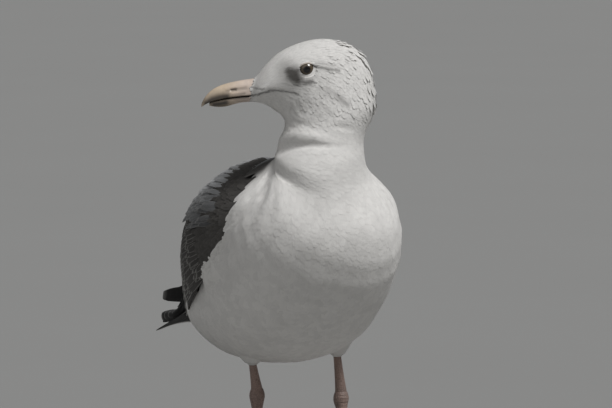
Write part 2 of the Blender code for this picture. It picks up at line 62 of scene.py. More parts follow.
def placed(points):
    """From the bird's own frame, in millimetres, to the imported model's, in metres."""
    return np.asarray(points) * MM + HOME


def added(name, data):
    """A new object of the scene, made of the data given."""
    item = bpy.data.objects.new(name, data)
    bpy.context.scene.collection.objects.link(item)
    return item


back = np.array([np.sin(CAMERA_TURN) * np.cos(CAMERA_RISE), -np.cos(CAMERA_TURN) * np.cos(CAMERA_RISE),
                 np.sin(CAMERA_RISE)])
right = np.array([np.cos(CAMERA_TURN), np.sin(CAMERA_TURN), 0.0])
camera = added("camera", bpy.data.cameras.new("camera"))
camera.location = placed(CAMERA_AIM + back * CAMERA_DISTANCE)
camera.rotation_euler = (np.pi / 2 - CAMERA_RISE, 0.0, CAMERA_TURN)
camera.data.sensor_width = SENSOR
camera.data.lens = SENSOR * CAMERA_DISTANCE / CAMERA_VIEW_WIDTH
bpy.context.scene.camera = camera

up = np.array([0.0, 0.0, 1.0])
front = np.array([back[0], back[1], 0.0]) / np.hypot(back[0], back[1])
# Where each lamp shines from by right, front and up, its width in degrees, and its strength.
LAMPS = {"key_lamp": ((0.38, 0.39, 0.84), 22.0, 2.85), "fill_lamp": ((-0.60, 0.50, 0.62), 60.0, 0.36)}
for name, (share, softness, strength) in LAMPS.items():
    towards = share[0] * right + share[1] * front + share[2] * up
    lamp = bpy.data.lights.new(name, "SUN")
    lamp.angle = np.radians(softness)
    lamp.energy = strength
    tip_over = np.arctan2(np.hypot(towards[0], towards[1]), towards[2])
    added(name, lamp).rotation_euler = (tip_over, 0.0, np.arctan2(towards[0], -towards[1]))
bpy.context.scene.view_settings.view_transform = "Standard"

world = bpy.data.worlds.new("pale_sky")
world.use_nodes = True
for key, value in {"Color": (0.80, 0.82, 0.85, 1.0), "Strength": 0.09}.items():
    world.node_tree.nodes["Background"].inputs[key].default_value = value
bpy.context.scene.world = world

FLOOR_REACH = 40.0
floor_mesh = bpy.data.meshes.new("floor")
corners = [(x * FLOOR_REACH, y * FLOOR_REACH, 0.0) for x, y in ((-1, -1), (1, -1), (1, 1), (-1, 1))]
floor_mesh.from_pydata(corners, [], [(0, 1, 2, 3)])
floor = added("floor", floor_mesh)


class Plug:
    """An output socket of a material. Arithmetic on it adds Math nodes; make() adds any other node."""

    def __init__(self, tree, socket):
        self.tree = tree
        self.socket = socket

    def make(self, kind, settings=(), inputs=(), output=0):
        """Any node: its settings are set first, then its sockets get values or links."""
        node = self.tree.nodes.new("ShaderNode" + kind)
        for key, value in dict(settings).items():
            setattr(node, key, value)
        for key, value in dict(inputs).items():
            if isinstance(value, Plug):
                self.tree.links.new(value.socket, node.inputs[key])
            else:
                node.inputs[key].default_value = value
        return Plug(self.tree, node.outputs[output])

    def math(self, operation, *others):
        """A Math node on this value and any others."""
        return self.make("Math", {"operation": operation}, dict(enumerate((self, *others))))

    def __add__(self, other):
        return self.math("ADD", other)

    def __sub__(self, other):
        return self.math("SUBTRACT", other)

    def __rsub__(self, other):
        return self.make("Math", {"operation": "SUBTRACT"}, {0: other, 1: self})

    def __mul__(self, other):
        return self.math("MULTIPLY", other)

    __radd__ = __add__
    __rmul__ = __mul__

    def step(self, start, end):
        """0 before start, 1 after end, smooth between."""
        return self.make("MapRange", {"interpolation_type": "SMOOTHSTEP"},
                         {"Value": self, "From Min": start, "From Max": end})

    def noise(self, scale, detail=3.0, roughness=0.5):
        """Cloudy noise over places, its scale in waves to the metre."""
        sockets = {"Vector": self, "Scale": scale, "Detail": detail, "Roughness": roughness}
        return self.make("TexNoise", (), sockets)

    def attribute(self, name, output=0):
        """A colour attribute of the mesh, or its alpha with output 3."""
        return self.make("Attribute", {"attribute_name": name}, output=output)

    def spot(self):
        """The point's own place on the object, in metres."""
        return self.make("TexCoord", output=3)

    def bumped(self, strength, depth):
        """The shading normal tilted by this value, read as a height."""
        return self.make("Bump", (), {"Strength": strength, "Distance": depth, "Height": self})


def tint(base, colour, share, way="MIX"):
    """Mixes a colour over a base by a share, in one of the Mix node's ways."""
    return base.make("Mix", {"data_type": "RGBA", "blend_type": way, "clamp_factor": True},
                     {0: share, 6: base, 7: colour}, 2)


def new_finish(name, **constants):
    """A material with its shader's constants set, and a Plug to start its nodes from."""
    material = bpy.data.materials.new(name)
    material.use_nodes = True
    shader = material.node_tree.nodes["Principled BSDF"]
    for key, value in constants.items():
        shader.inputs[key.replace("_", " ")].default_value = value
    return material, Plug(material.node_tree, shader.outputs[0])


def feed(start, **links):
    """Links values to the shader's sockets by name, with spaces written as underscores."""
    shader = start.socket.node
    for key, value in links.items():
        start.tree.links.new(value.socket, shader.inputs[key.replace("_", " ")])


FLOOR_COLOUR = (0.26, 0.26, 0.255, 1.0)
floor_finish, start = new_finish("pale_floor", Roughness=0.9)
feed(start, Base_Color=tint(start.make("RGB"), FLOOR_COLOUR, 1.0 - 0.04 * start.spot().noise(3.0)))
floor_mesh.materials.append(floor_finish)


# Skin. The flesh of head, neck, trunk, thighs and wing arms is one surface under the coat. It is
# pale and downy, carries the coat's own markings, and lies inside the outline by the coat's depth.
NECK_AXIS_Y = -65.0
BODY_HEIGHT = 3.0
HEAD_TURN = np.radians(108.0)
# Ahead of the neck's axis and height of a section's top, the same of its underside, half the width,
# turn to the right in degrees, how low the widest place is, and roundness (2 is an ellipse).
BODY_ROWS = np.array([
    (-269, 118, -267, 103, 12.0, 0, 0.00, 2.00),
    (-255, 129, -241, 96, 23.0, 0, 0.05, 2.00),
    (-231, 146, -209, 89.5, 33.5, 0, 0.12, 2.10),
    (-199, 167, -171, 84, 45.5, 0, 0.15, 2.20),
    (-164, 195, -126, 81, 58.5, 0, 0.10, 2.35),
    (-130, 223, -82, 84, 67.5, 0, 0.06, 2.35),
    (-97, 239.5, -43, 94, 71.0, 0, 0.04, 2.30),
    (-67, 245.5, -7, 114, 71.0, 0, 0.00, 2.25),
    (-47, 248, 21, 141, 67.5, 0, 0.02, 2.15),
    (-37, 250, 34, 171, 58.5, 0, 0.04, 2.10),
    (-34, 253, 36, 199, 45.5, 2, 0.00, 2.05),
    (-34, 258, 33, 225, 34.5, 12, 0, 2),
    (-32, 262.5, 36.5, 243, 32.5, 40, 0, 2),
    (-33.5, 268.5, 31.5, 257, 32.0, 68, 0, 2),
    (-37.5, 276, 28, 268, 31.0, 88, 0, 2),
    (-40.5, 287, 27.5, 276, 29.0, 102, 0.00, 2),
    (-39.5, 303, 30, 281, 27.0, 108, 0.00, 2),
    (-35, 320.5, 34.5, 284.5, 25.5, 108, 0.00, 2),
    (-21.5, 334, 39.5, 287.8, 24.0, 108, 0.00, 2),
    (0, 338.8, 44, 290, 21.8, 108, 0.05, 2),
    (20, 334.5, 48.5, 291, 18.8, 108, 0.06, 2),
    (34, 327, 51, 291.2, 15.4, 108, 0.04, 2),
    (44, 317, 53, 291.2, 11.4, 108, 0.00, 2),
    (50, 310, 54, 291.3, 8.0, 108, 0.00, 2),
    (54, 309.1, 58, 290.8, 7.3, 108, 0.12, 2.00),
])
BODY_END = len(BODY_ROWS) - 2.0         # the last section is only for the feathers on the bill's base
NAPE, FACE = 15.0, 20.0                 # along the body, in sections from the tail
THIGH_TOPS = {"right": (-30.0, 26.0, 112.0), "left": (40.0, 24.0, 112.0)}
ANKLES = {"right": (-21.7, 29.0, 59.5), "left": (46.3, 27.0, 55.0)}
THIGH_LOW = {"right": 95.5, "left": 100.0}
CUFF_DEPTH = 8.0
THIGH_RADII = [(16.0, 19.0), (14.0, 16.5), (10.5, 12.0), (5.0, 5.6)]
# Folded wing: Y, top's height, half the width, height of the widest place, lower edge's height, the
# width left there, the upper edge's distance from the middle, and the thickness.
WING_ROWS = np.array([
    (-46, 246, 69.2, 196, 186, 0.975, 27, 8.0),
    (-30, 247.5, 72.8, 190, 170, 0.975, 26, 11.0),
    (0, 247.5, 77.5, 184, 151, 0.970, 25, 13.0),
    (30, 241.5, 78.5, 177, 135, 0.955, 24, 13.0),
    (60, 230, 73.8, 169, 121, 0.930, 19, 11.0),
    (90, 213, 64.5, 159, 110, 0.905, 9, 9.0),
    (120, 195, 53.0, 148, 106, 0.900, 2, 7.0),
    (150, 177, 42.0, 138, 105.5, 0.880, 0.8, 6.0),
    (180, 160, 33.5, 130, 106, 0.850, 0.8, 5.0),
    (215, 141, 26.5, 121, 110, 0.850, 0.8, 4.5),
    (250, 130, 20.5, 116.5, 108, 0.850, 0.8, 4.0),
    (290, 121, 14.5, 111.5, 105, 0.850, 0.8, 3.5),
    (330, 114, 9.5, 108.5, 102.5, 0.900, 0.8, 3.0),
])
TOP, MIDDLE, LOW, START, THICKNESS = 1, 3, 4, 6, 7
WING_ROUNDNESS = 2.25
WING_UPPER_SHARE = 0.62
WRIST_BOW = 13.0
SIDES = {"right": -1, "left": 1}


def spline(knots, values, at):
    """Natural cubic spline through the rows of values at the knots, read at the places given."""
    count = len(knots)
    step = np.diff(knots)
    slope = np.diff(values, axis=0) / step[:, None]
    i = np.arange(1, count - 1)
    system = np.eye(count)
    system[i, i - 1] = step[:-1]
    system[i, i] = 2 * (step[:-1] + step[1:])
    system[i, i + 1] = step[1:]
    turn = np.zeros(np.shape(values))
    turn[1:-1] = 6 * np.diff(slope, axis=0)
    bend = np.linalg.solve(system, turn)
    i = np.clip(np.searchsorted(knots, at, side="right") - 1, 0, count - 2)
    h = step[i][:, None]
    a = (np.asarray(knots)[i + 1] - at)[:, None] / h
    b = 1 - a
    bowed = ((a ** 3 - a) * bend[i] + (b ** 3 - b) * bend[i + 1]) * h ** 2 / 6
    return a * values[i] + b * values[i + 1] + bowed


def grid(*spans):
    """Arrays of every pairing of the spans' values."""
    return np.meshgrid(*spans, indexing="ij")


def circle(count):
    """Angles spaced evenly round a circle."""
    return np.linspace(0, 2 * np.pi, count, endpoint=False)


def levelled(*values):
    """The arrays' common shape, and each of them brought to it and laid out in one row."""
    shape = np.broadcast(*values).shape
    return shape, [np.broadcast_to(value, shape).ravel() for value in values]


def mixed(first, second, share):
    """Colours part of the way from the first to the second."""
    return first + (second - first) * np.asarray(share)[..., None]


def ramp(value, start, span):
    """0 up to the start and 1 past the span, straight between; a negative span runs downwards."""
    return np.clip((value - start) / span, 0, 1)


def soft_step(value, middle, width):
    """S-curve: 0 below the middle, a half on it, 1 above it; a negative width turns it round."""
    return 1 / (1 + np.exp((middle - value) / width))


def rounded(value, roundness):
    """Superellipse coordinate of a cosine or sine."""
    return np.sign(value) * np.abs(value) ** (2 / roundness)


def body_outline(u, angle):
    """The body at a place from tail to bill and an angle round it: the middle of a section's long
    diameter, plus half that diameter times a rounded cosine, plus its width times a rounded sine."""
    shape, (u, angle) = levelled(np.clip(u, -0.6, BODY_END + 1), angle)
    row = spline(np.arange(len(BODY_ROWS)), BODY_ROWS, u)
    turn = np.radians(row[:, 5])
    zero = 0 * turn
    ahead = np.stack([-np.sin(turn), -np.cos(turn), zero], -1)
    leftward = np.stack([np.cos(turn), -np.sin(turn), zero], -1)
    top = ahead * row[:, 0:1] + np.stack([zero, zero, row[:, 1]], -1)
    under = ahead * row[:, 2:3] + np.stack([zero, zero, row[:, 3]], -1)
    rise = rounded(np.cos(angle), row[:, 7])[:, None]
    width = (row[:, 4] * (1 - row[:, 6] * rise[:, 0]) * rounded(np.sin(angle), row[:, 7]))[:, None]
    point = (top + under) / 2 + (top - under) / 2 * rise + leftward * width
    return (point + [0.0, NECK_AXIS_Y, BODY_HEIGHT]).reshape(*shape, 3)


def wing_size(y, *columns):
    """The folded wing's measures at a Y, read straight between its rows."""
    return [np.interp(y, WING_ROWS[:, 0], WING_ROWS[:, column]) for column in columns]


def wing_outline(side):
    """The folded wing's outer face, by Y and the share of the way across from its upper edge, over
    its widest place, to its lower edge: a rounded quarter above and a drop that tucks in below."""
    def outline(y, across):
        shape, (y, across) = levelled(y, across)
        top, wide, middle, low, tuck, start = spline(WING_ROWS[:, 0], WING_ROWS[:, TOP:THICKNESS], y).T
        first = np.arcsin((np.abs(start) / wide) ** (WING_ROUNDNESS / 2))
        last = np.arccos(tuck)
        angle = first + (np.pi / 2 - first) * np.clip(across / WING_UPPER_SHARE, -0.3, 1)
        drop = last * np.clip((across - WING_UPPER_SHARE) / (1 - WING_UPPER_SHARE), 0, 1.3)
        x = np.maximum(wide * rounded(np.sin(angle), WING_ROUNDNESS) * np.cos(drop), 0.4)
        z = middle + (top - middle) * rounded(np.cos(angle), WING_ROUNDNESS)
        z = z - (middle - low) * np.sin(drop) / np.sin(last)
        return np.stack([SIDES[side] * x, y, z + BODY_HEIGHT], -1).reshape(*shape, 3)
    return outline


def on_leg(side, height):
    """The point at a height on the straight line from a thigh's top to its ankle."""
    top, ankle = np.array(THIGH_TOPS[side]), np.array(ANKLES[side])
    return ankle + (top - ankle) * (height - ankle[2]) / (top[2] - ankle[2])


def thigh_outline(side):
    """The thigh from its top down to its cuff: level ovals along a straight line to the ankle."""
    top, knee = np.array(THIGH_TOPS[side]), on_leg(side, THIGH_LOW[side])
    places = np.array([top, (top + knee) / 2, knee, on_leg(side, THIGH_LOW[side] - CUFF_DEPTH)])
    rows = np.concatenate([places, np.array(THIGH_RADII)], 1)

    def outline(v, angle):
        shape, (v, angle) = levelled(v, angle)
        row = spline(np.arange(4.0), rows, v)
        point = row[:, :3] + np.stack([row[:, 3] * np.cos(angle), row[:, 4] * np.sin(angle), 0 * v], -1)
        return point.reshape(*shape, 3)
    return outline


def directions(surface, a, b, nudge, *height):
    """The two ways over a surface at a place: from just before it to just past it, in a and in b."""
    along = surface(a + nudge, b, *height) - surface(a - nudge, b, *height)
    return along, surface(a, b + nudge, *height) - surface(a, b - nudge, *height)


def raised(outline, a, b, height, facing=1.0):
    """A point of an outline moved out along its normal, the cross product of its two directions."""
    normal = np.cross(*directions(outline, a, b, 0.004)) * facing
    normal /= np.linalg.norm(normal, axis=-1, keepdims=True) + 1e-9
    return outline(a, b) + normal * np.asarray(height)[..., None]


def bump(value, middle, width):
    """Bell curve: 1 at the middle, falling to a third at the width."""
    return np.exp(-((value - middle) / width) ** 2)


# Swellings of the flesh: height, place along, its width, place round in degrees, its width.
SWELLINGS = [(4.5, 11.2, 0.95, 190, 34), (7.5, 10.5, 1.25, 238, 32), (3.0, 9.7, 0.9, 185, 60),
             (-4.0, 7.5, 1.1, 185, 60), (5.5, 4.0, 0.9, 258, 24), (5.5, 4.0, 0.9, 102, 24),
             (1.6, 20.6, 0.8, 124, 15), (1.6, 20.6, 0.8, 236, 15), (0.3, 14.7, 0.4, 84, 16)]
FURROW_LINE = ([9.0, 9.8, 10.4, 11.2, 12.1], [258, 267, 272, 254, 232])


def folds(u, angle):
    """Rise and fall of the flesh, in mm: a bulge of the neck over a crease above the breast, swellings
    of the neck's base, the breast, the flanks and the cheeks, a furrow beside the neck, a short crease
    and a broken ruff at the nape, narrow furrows down the breast's sides and soft lumps all over it."""
    degrees = np.degrees(angle) % 360
    crease = 12.85 + 0.35 * np.cos(np.radians(degrees - 150) * 2)
    past = u - crease
    fold = 2.6 * bump(past, 0.62, 0.55) - 1.4 * bump(past, 0.0, 0.20) + 0.6 * bump(past, -0.5, 0.4)
    fold = fold * soft_step(degrees, 122, 7) * soft_step(degrees, 222, -7)
    for height, along, reach, around, spread_round in SWELLINGS:
        fold += height * bump(u, along, reach) * bump(degrees, around, spread_round)
    fold -= 1.5 * bump(degrees, np.interp(u, *FURROW_LINE), 7) * bump(u, 10.5, 1.0)
    fold -= 0.5 * bump(u, 14.1 + 0.02 * (degrees - 84), 0.3) * bump(degrees, 84, 12)
    ruff = 14.95 + 0.25 * np.sin(np.radians(degrees * 5)) + 0.35 * np.cos(np.radians(degrees - 180))
    broken = 0.55 + 0.45 * np.sin(np.radians(degrees * 3 + 40))
    fold += broken * (0.45 * bump(u, ruff + 0.35, 0.5) - 0.25 * bump(u, ruff - 0.22, 0.35))
    furrow = np.sin(np.radians(degrees) * 21 + 1.3 * np.sin(u * 2.1)) * np.sin(u * 1.7 + 0.6)
    side = bump(u, 9.3, 1.4) * (bump(degrees, 262, 26) + bump(degrees, 98, 26))
    lumps = np.sin(5.3 * u + 3 * angle) * np.sin(9 * angle - 2.1 * u + 1.3 * np.sin(1.9 * u))
    return fold + 0.7 * furrow * side + 0.55 * bump(u, 6.6, 3.0) * lumps


def body_coat(u, angle, height):
    """The outline with its folds, and a height above it."""
    return raised(body_outline, u, angle, height + folds(u, angle))


def front_inset(y, across):
    """How far the wing's arm lies under its feathered outline, fading out behind the front edge and
    towards the lower one."""
    return 3.5 * ramp(y, 0, -30) * ramp(across, 0.75, -0.35)


def wing_swell(y, across):
    """How far the quills of the arm stand off the flank's loose feathers: most at mid length, low."""
    return 4.5 * bump(y, 125, 50) * ramp(across, 0.3, 0.4)


def wing_coat(side):
    """A folded wing's outline with its front inset and its swell, and a height above it."""
    def coat(y, across, height):
        height = height - front_inset(y, across) + wing_swell(y, across)
        return raised(wing_outline(side), y, across, height, -SIDES[side])
    return coat


def thigh_coat(side):
    """A thigh's outline, and a height above it."""
    return lambda v, angle, height: raised(thigh_outline(side), v, angle, height, -1.0)


def coat_depth(u):
    """How far the skin lies under the outline: deep on the trunk, thin on the face."""
    return np.interp(u, [0, 2, 9, 12, 15, 18, 21, BODY_END], [2.0, 4.5, 4.5, 3.2, 1.8, 1.2, 0.9, 0.5])


def head_place(points):
    """Distance ahead of the neck's axis, to the side, and height, in the head's own directions."""
    d = points - np.array([0.0, NECK_AXIS_Y, BODY_HEIGHT])
    ahead = -d[..., 0] * np.sin(HEAD_TURN) - d[..., 1] * np.cos(HEAD_TURN)
    aside = d[..., 0] * np.cos(HEAD_TURN) - d[..., 1] * np.sin(HEAD_TURN)
    return ahead, aside, d[..., 2]


def head_point(ahead, aside, height):
    """The other way round: a point from its place in the head's own directions."""
    ahead, aside, height = np.broadcast_arrays(ahead, aside, height)
    return np.stack([-ahead * np.sin(HEAD_TURN) + aside * np.cos(HEAD_TURN),
                     NECK_AXIS_Y - ahead * np.cos(HEAD_TURN) - aside * np.sin(HEAD_TURN),
                     height + BODY_HEIGHT], -1)


def stroke(x, y, width, path):
    """A soft brush stroke along a path: 1 on its line, falling off by the width."""
    best = np.full(np.shape(x), np.inf)
    for (x0, y0), (x1, y1) in zip(path, path[1:]):
        length = (x1 - x0) ** 2 + (y1 - y0) ** 2
        t = np.clip(((x - x0) * (x1 - x0) + (y - y0) * (y1 - y0)) / length, 0, 1)
        best = np.minimum(best, (x - x0 - t * (x1 - x0)) ** 2 + (y - y0 - t * (y1 - y0)) ** 2)
    return np.exp(-best / width ** 2)


def strongest(x, y, marks):
    """The strongest of several strokes at a place: each has a strength, a width and a path."""
    dark = np.zeros(np.shape(x))
    for strength, width, path in marks:
        dark = np.maximum(dark, strength * stroke(x, y, width, path))
    return dark


WHITE = np.array([0.80, 0.785, 0.76])
DUSKY = np.array([0.055, 0.050, 0.045])
MANTLE_GREY = np.array([0.36, 0.365, 0.37])
COVERT_BROWN = np.array([0.078, 0.073, 0.068])
QUILL_BLACK = np.array([0.013, 0.012, 0.012])
PALE_EDGE = np.array([0.55, 0.54, 0.51])
# Dusky marks on the side of the head: strength, softness in mm, and a path by (ahead, height).
FACE_MARKS = [
    (0.98, 5.6, [(24.3, 315.4), (20, 314.6), (18.4, 309), (23, 312.6), (20, 314.6)]),
    (0.74, 2.6, [(18, 309), (12.5, 307.2), (8, 307.8)]),
    (0.52, 9.0, [(26.5, 317.5), (22, 311)]),
    (0.10, 16.0, [(32, 318), (20, 330), (0, 336), (-18, 330)]),
    (0.60, 1.3, [(5, 319.6), (-2, 318), (-13, 316.2)]),
    (0.30, 1.2, [(4.8, 321.8), (-5, 321.5), (-10.5, 320)]),
    (0.45, 1.4, [(-4, 317.6), (-8, 316.4)]),
    (0.16, 3.5, [(2, 322), (-12, 318)]),
    (0.42, 2.2, [(-12, 297), (-15, 294.5), (-19.5, 290.8)]),
    (0.20, 3.5, [(-4, 299), (-14, 296)]),
    (0.20, 1.3, [(19, 295), (17.6, 290), (14, 285.5)]),
    (0.22, 1.5, [(12, 296), (8, 291), (1.4, 283)]),
    (0.18, 1.8, [(2, 292), (-2, 289), (-8, 284)]),
    (0.16, 1.2, [(14.5, 292), (11.5, 287)]),
    (0.22, 1.8, [(1, 303), (-4, 301.5), (-10.5, 299.2)]),
    (0.18, 1.0, [(23, 291.5), (22, 288), (19, 283)]),
    (0.16, 3.0, [(22, 306), (12, 302)]),
    (0.70, 0.9, [(55, 295.8), (47.8, 297.5), (42, 299.5), (38, 301), (26.6, 300.7), (20, 299.3),
                 (17.2, 298)]),
    (0.25, 2.2, [(40, 301.5), (26.6, 301.5), (17.2, 299)]),
    (0.60, 0.7, [(56, 303.4), (50, 302.2), (45, 301.7), (43, 302.6)]),
]


def coat_colour(points, u, angle):
    """White all over, grey on the back between the wings and darker at its front corners, partly the
    coverts' own brown and partly painted shade of the wing's front, with the head's dusky marks, which
    fade out on its crown and under its chin."""
    ahead, aside, height = head_place(points)
    dusk = np.minimum(strongest(ahead, height, FACE_MARKS), 0.95)
    dusk = dusk * (u > NAPE - 1.0) * ramp(np.abs(aside), 0, 6.0)
    away = np.abs((np.degrees(angle) + 180) % 360 - 180)
    mantle = soft_step(away, 62, -4) * soft_step(u, 10.1, -1 / 6) * soft_step(u, 2.6, 1 / 4)
    # The back's front corners darker: partly the coverts' own brown, partly painted shade of the wing's
    # front.
    shoulder = ramp(points[..., 1], -14, -10) * ramp(np.abs(points[..., 0]), 22, 8)
    return mixed(mixed(WHITE, mixed(MANTLE_GREY, COVERT_BROWN * 1.2, shoulder), mantle), DUSKY, dusk)


def grid_faces(rows, columns, wrapped=False):
    """Corner numbers of the quads of a grid, as an array of four columns."""
    i, j = grid(np.arange(rows - 1), np.arange(columns if wrapped else columns - 1))
    k = (j + 1) % columns
    corners = [i * columns + j, i * columns + k, (i + 1) * columns + k, (i + 1) * columns + j]
    return np.stack(corners, -1).reshape(-1, 4)


def tube_faces(rings, around, inward=False):
    """Quads of a tube of rings and the two faces that close its ends, turned round if they would
    face inwards."""
    quads = grid_faces(rings, around, True)
    caps = [np.arange(around)[::-1], np.arange(around) + (rings - 1) * around]
    return (quads[:, ::-1], [cap[::-1] for cap in caps]) if inward else (quads, caps)


def make_piece(name, points, quads, caps, finish, maps=None, colours=None):
    """A mesh object from arrays: points, quads, caps of any number of corners, UV maps by point, and
    colour attributes by point."""
    mesh = bpy.data.meshes.new(name)
    points = placed(points).reshape(-1, 3)
    corners = np.concatenate([quads.ravel(), *caps]).astype(np.int32)
    sizes = np.concatenate([np.full(len(quads), 4), [len(cap) for cap in caps]]).astype(np.int32)
    mesh.vertices.add(len(points))
    mesh.vertices.foreach_set("co", points.ravel())
    mesh.loops.add(len(corners))
    mesh.loops.foreach_set("vertex_index", corners)
    mesh.polygons.add(len(sizes))
    mesh.polygons.foreach_set("loop_start", (np.cumsum(sizes) - sizes).astype(np.int32))
    mesh.update(calc_edges=True)
    mesh.validate()
    for key, places in (maps or {}).items():
        layer = mesh.uv_layers.new(name=key)
        layer.uv.foreach_set("vector", places.reshape(-1, 2)[corners].astype(np.float32).ravel())
    for key, values in (colours or {}).items():
        layer = mesh.color_attributes.new(key, "FLOAT_COLOR", "POINT")
        layer.data.foreach_set("color", values.reshape(-1, 4).astype(np.float32).ravel())
    mesh.shade_smooth()
    mesh.materials.append(finish)
    return added(name, mesh)


def opaque(colour):
    """Colours with an alpha of 1."""
    return np.concatenate([colour, np.ones((*colour.shape[:-1], 1))], -1)


skin_finish, start = new_finish("downy_skin", Roughness=0.95, Sheen_Weight=0.1)
spot = start.spot()
feed(start, Base_Color=tint(start.attribute("dye"), 0.86 + 0.14 * spot.noise(900.0), 1.0, "MULTIPLY"),
     Normal=spot.noise(700.0).bumped(0.5, 0.0006))

skin_parts = []


def skin_part(points, colour, place, quads, caps=()):
    """Adds a part of the skin: points, colours, places on the bake map, and faces by its own points."""
    first = sum(len(part[0]) for part in skin_parts)
    skin_parts.append((points.reshape(-1, 3), colour.reshape(-1, 3), place.reshape(-1, 2),
                       quads + first, [cap + first for cap in caps]))


BODY_STEPS, BODY_AROUND = 200, 120
u, angle = grid(np.linspace(0, BODY_END, BODY_STEPS), circle(BODY_AROUND))
points = body_coat(u, angle, -coat_depth(u))
place = np.stack([angle / (2 * np.pi), 0.75 * u / BODY_END], -1)
skin_part(points, coat_colour(points, u, angle), place, *tube_faces(BODY_STEPS, BODY_AROUND))

THIGH_STEPS, THIGH_AROUND = 18, 28
THIGH_SKIN_DEPTH = 1.4
for number, side in enumerate(SIDES):
    v, angle = grid(np.linspace(0, 3, THIGH_STEPS), circle(THIGH_AROUND))
    points = thigh_coat(side)(v, angle, -THIGH_SKIN_DEPTH + 0 * v)
    place = np.stack([0.5 * number + 0.45 * angle / (2 * np.pi), 0.77 + 0.05 * v / 3], -1)
    skin_part(points, WHITE + 0 * points, place, *tube_faces(THIGH_STEPS, THIGH_AROUND, True))


def wrist_y(across):
    """Front edge of the wing, bowed forwards at the wrist."""
    return WING_ROWS[0][0] + WRIST_BOW * (2 * across - 1) ** 2


def quill_line(across):
    """Slanting line where the inner quills end over the primaries."""
    return 190.0 - 75.0 * across


ARM_STEPS, ARM_ACROSS = 40, 22
# How far the arm stops behind the front edge and short of the quills' ends, and lies under the coat.
ARM_FRONT_GAP, ARM_END_GAP, ARM_OUTER_DEPTH, ARM_INNER_DEPTH = 2.0, 55.0, 1.2, 1.6
for number, side in enumerate(SIDES):
    t, across = grid(np.linspace(0, 1, ARM_STEPS), np.linspace(0.02, 0.98, ARM_ACROSS))
    y = wrist_y(across) + ARM_FRONT_GAP + (quill_line(across) - ARM_END_GAP - wrist_y(across)) * t
    thick = wing_size(y, THICKNESS)[0] * np.sin(np.pi * across) ** 0.6
    edge = np.minimum(np.minimum(t, 1 - t) * 12, 1)
    outer = wing_coat(side)(y, across, -(0.25 + 0.1 * (1 - edge)) * thick - ARM_OUTER_DEPTH)
    inner = wing_coat(side)(y, across, -0.85 * thick - ARM_INNER_DEPTH)
    count = ARM_STEPS * ARM_ACROSS
    quads = grid_faces(ARM_STEPS, ARM_ACROSS)
    rim = np.concatenate([np.arange(ARM_ACROSS), np.arange(2, ARM_STEPS) * ARM_ACROSS - 1,
                          np.arange(count - 1, count - ARM_ACROSS - 1, -1),
                          np.arange(ARM_STEPS - 2, 0, -1) * ARM_ACROSS])
    wall = np.stack([rim, rim + count, np.roll(rim, -1) + count, np.roll(rim, -1)], -1)
    quads = np.concatenate([quads[:, ::-1], quads + count, wall])
    if side == "left":
        quads = quads[:, ::-1]
    grey = mixed(MANTLE_GREY, COVERT_BROWN, ramp(across, 0.3, 0.3))
    place = np.stack([0.5 * number + 0.45 * across, 0.84 + 0.14 * t], -1)
    skin_part(np.stack([outer, inner]), np.stack([grey, grey]), np.stack([place, place]), quads)

points, colour, place, quads = (np.concatenate([part[k] for part in skin_parts]) for k in range(4))
caps = [cap for part in skin_parts for cap in part[4]]
skin = make_piece("skin", points, quads, caps, skin_finish, {"OFBake": place}, {"dye": opaque(colour)})
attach(skin, "root")
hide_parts("trunk", "neck", "head", "thigh_left", "thigh_right", "wing_left", "wing_right")


# Contour feathers. Thousands of short soft vanes lie back along the body, each with its root under
# the ones ahead of it and its loose tip on the outline: tiny on the face, longest on belly and rump.
EVEN_STEPS = (0.7548776662, 0.5698402910)   # one over the plastic ratio, and over its square
PATCHES_ALONG, PATCHES_ROUND = 260, 181


def even_shares(count):
    """Pairs of shares spread evenly over a square: a half plus multiples of the steps, wrapped."""
    return [(0.5 + step * np.arange(count)) % 1 for step in EVEN_STEPS]


def scatter(outline, a_span, b_span, spacing):
    """Roots spread evenly: even shares read through the running totals of the number of feathers
    that the spacing asks for on each patch of the surface."""
    a = np.linspace(*a_span, PATCHES_ALONG)
    b = np.linspace(*b_span, PATCHES_ROUND)
    grid_a, grid_b = grid(a, b)
    points = outline(grid_a, grid_b)
    patch = np.cross(np.gradient(points, a, axis=0), np.gradient(points, b, axis=1))
    wanted = np.linalg.norm(patch, axis=-1) / spacing(grid_a, grid_b, points) ** 2
    wanted = wanted * (a[1] - a[0]) * (b[1] - b[0])
    first, second = even_shares(int(wanted.sum()))
    running = np.concatenate([[0], np.cumsum(wanted.sum(1))])
    edges = np.concatenate([[a[0]], (a[1:] + a[:-1]) / 2, [a[-1]]])
    at_a = np.interp(first, running / running[-1], edges)
    row = np.clip(np.searchsorted(edges, at_a) - 1, 0, len(a) - 1)
    totals = np.cumsum(wanted, axis=1) / (wanted.sum(1, keepdims=True) + 1e-12)
    column = np.clip((totals[row] < second[:, None]).sum(1), 0, len(b) - 1)
    before = np.where(column > 0, totals[row, column - 1], 0.0)
    inside = (second - before) / np.maximum(totals[row, column] - before, 1e-9)
    return at_a, b[column] + (inside - 0.5) * (b[1] - b[0])


def spread(value, count):
    """One value for each vane, shaped to work with arrays of vanes, rows and columns."""
    return np.broadcast_to(np.asarray(value, float), (count,))[:, None, None]


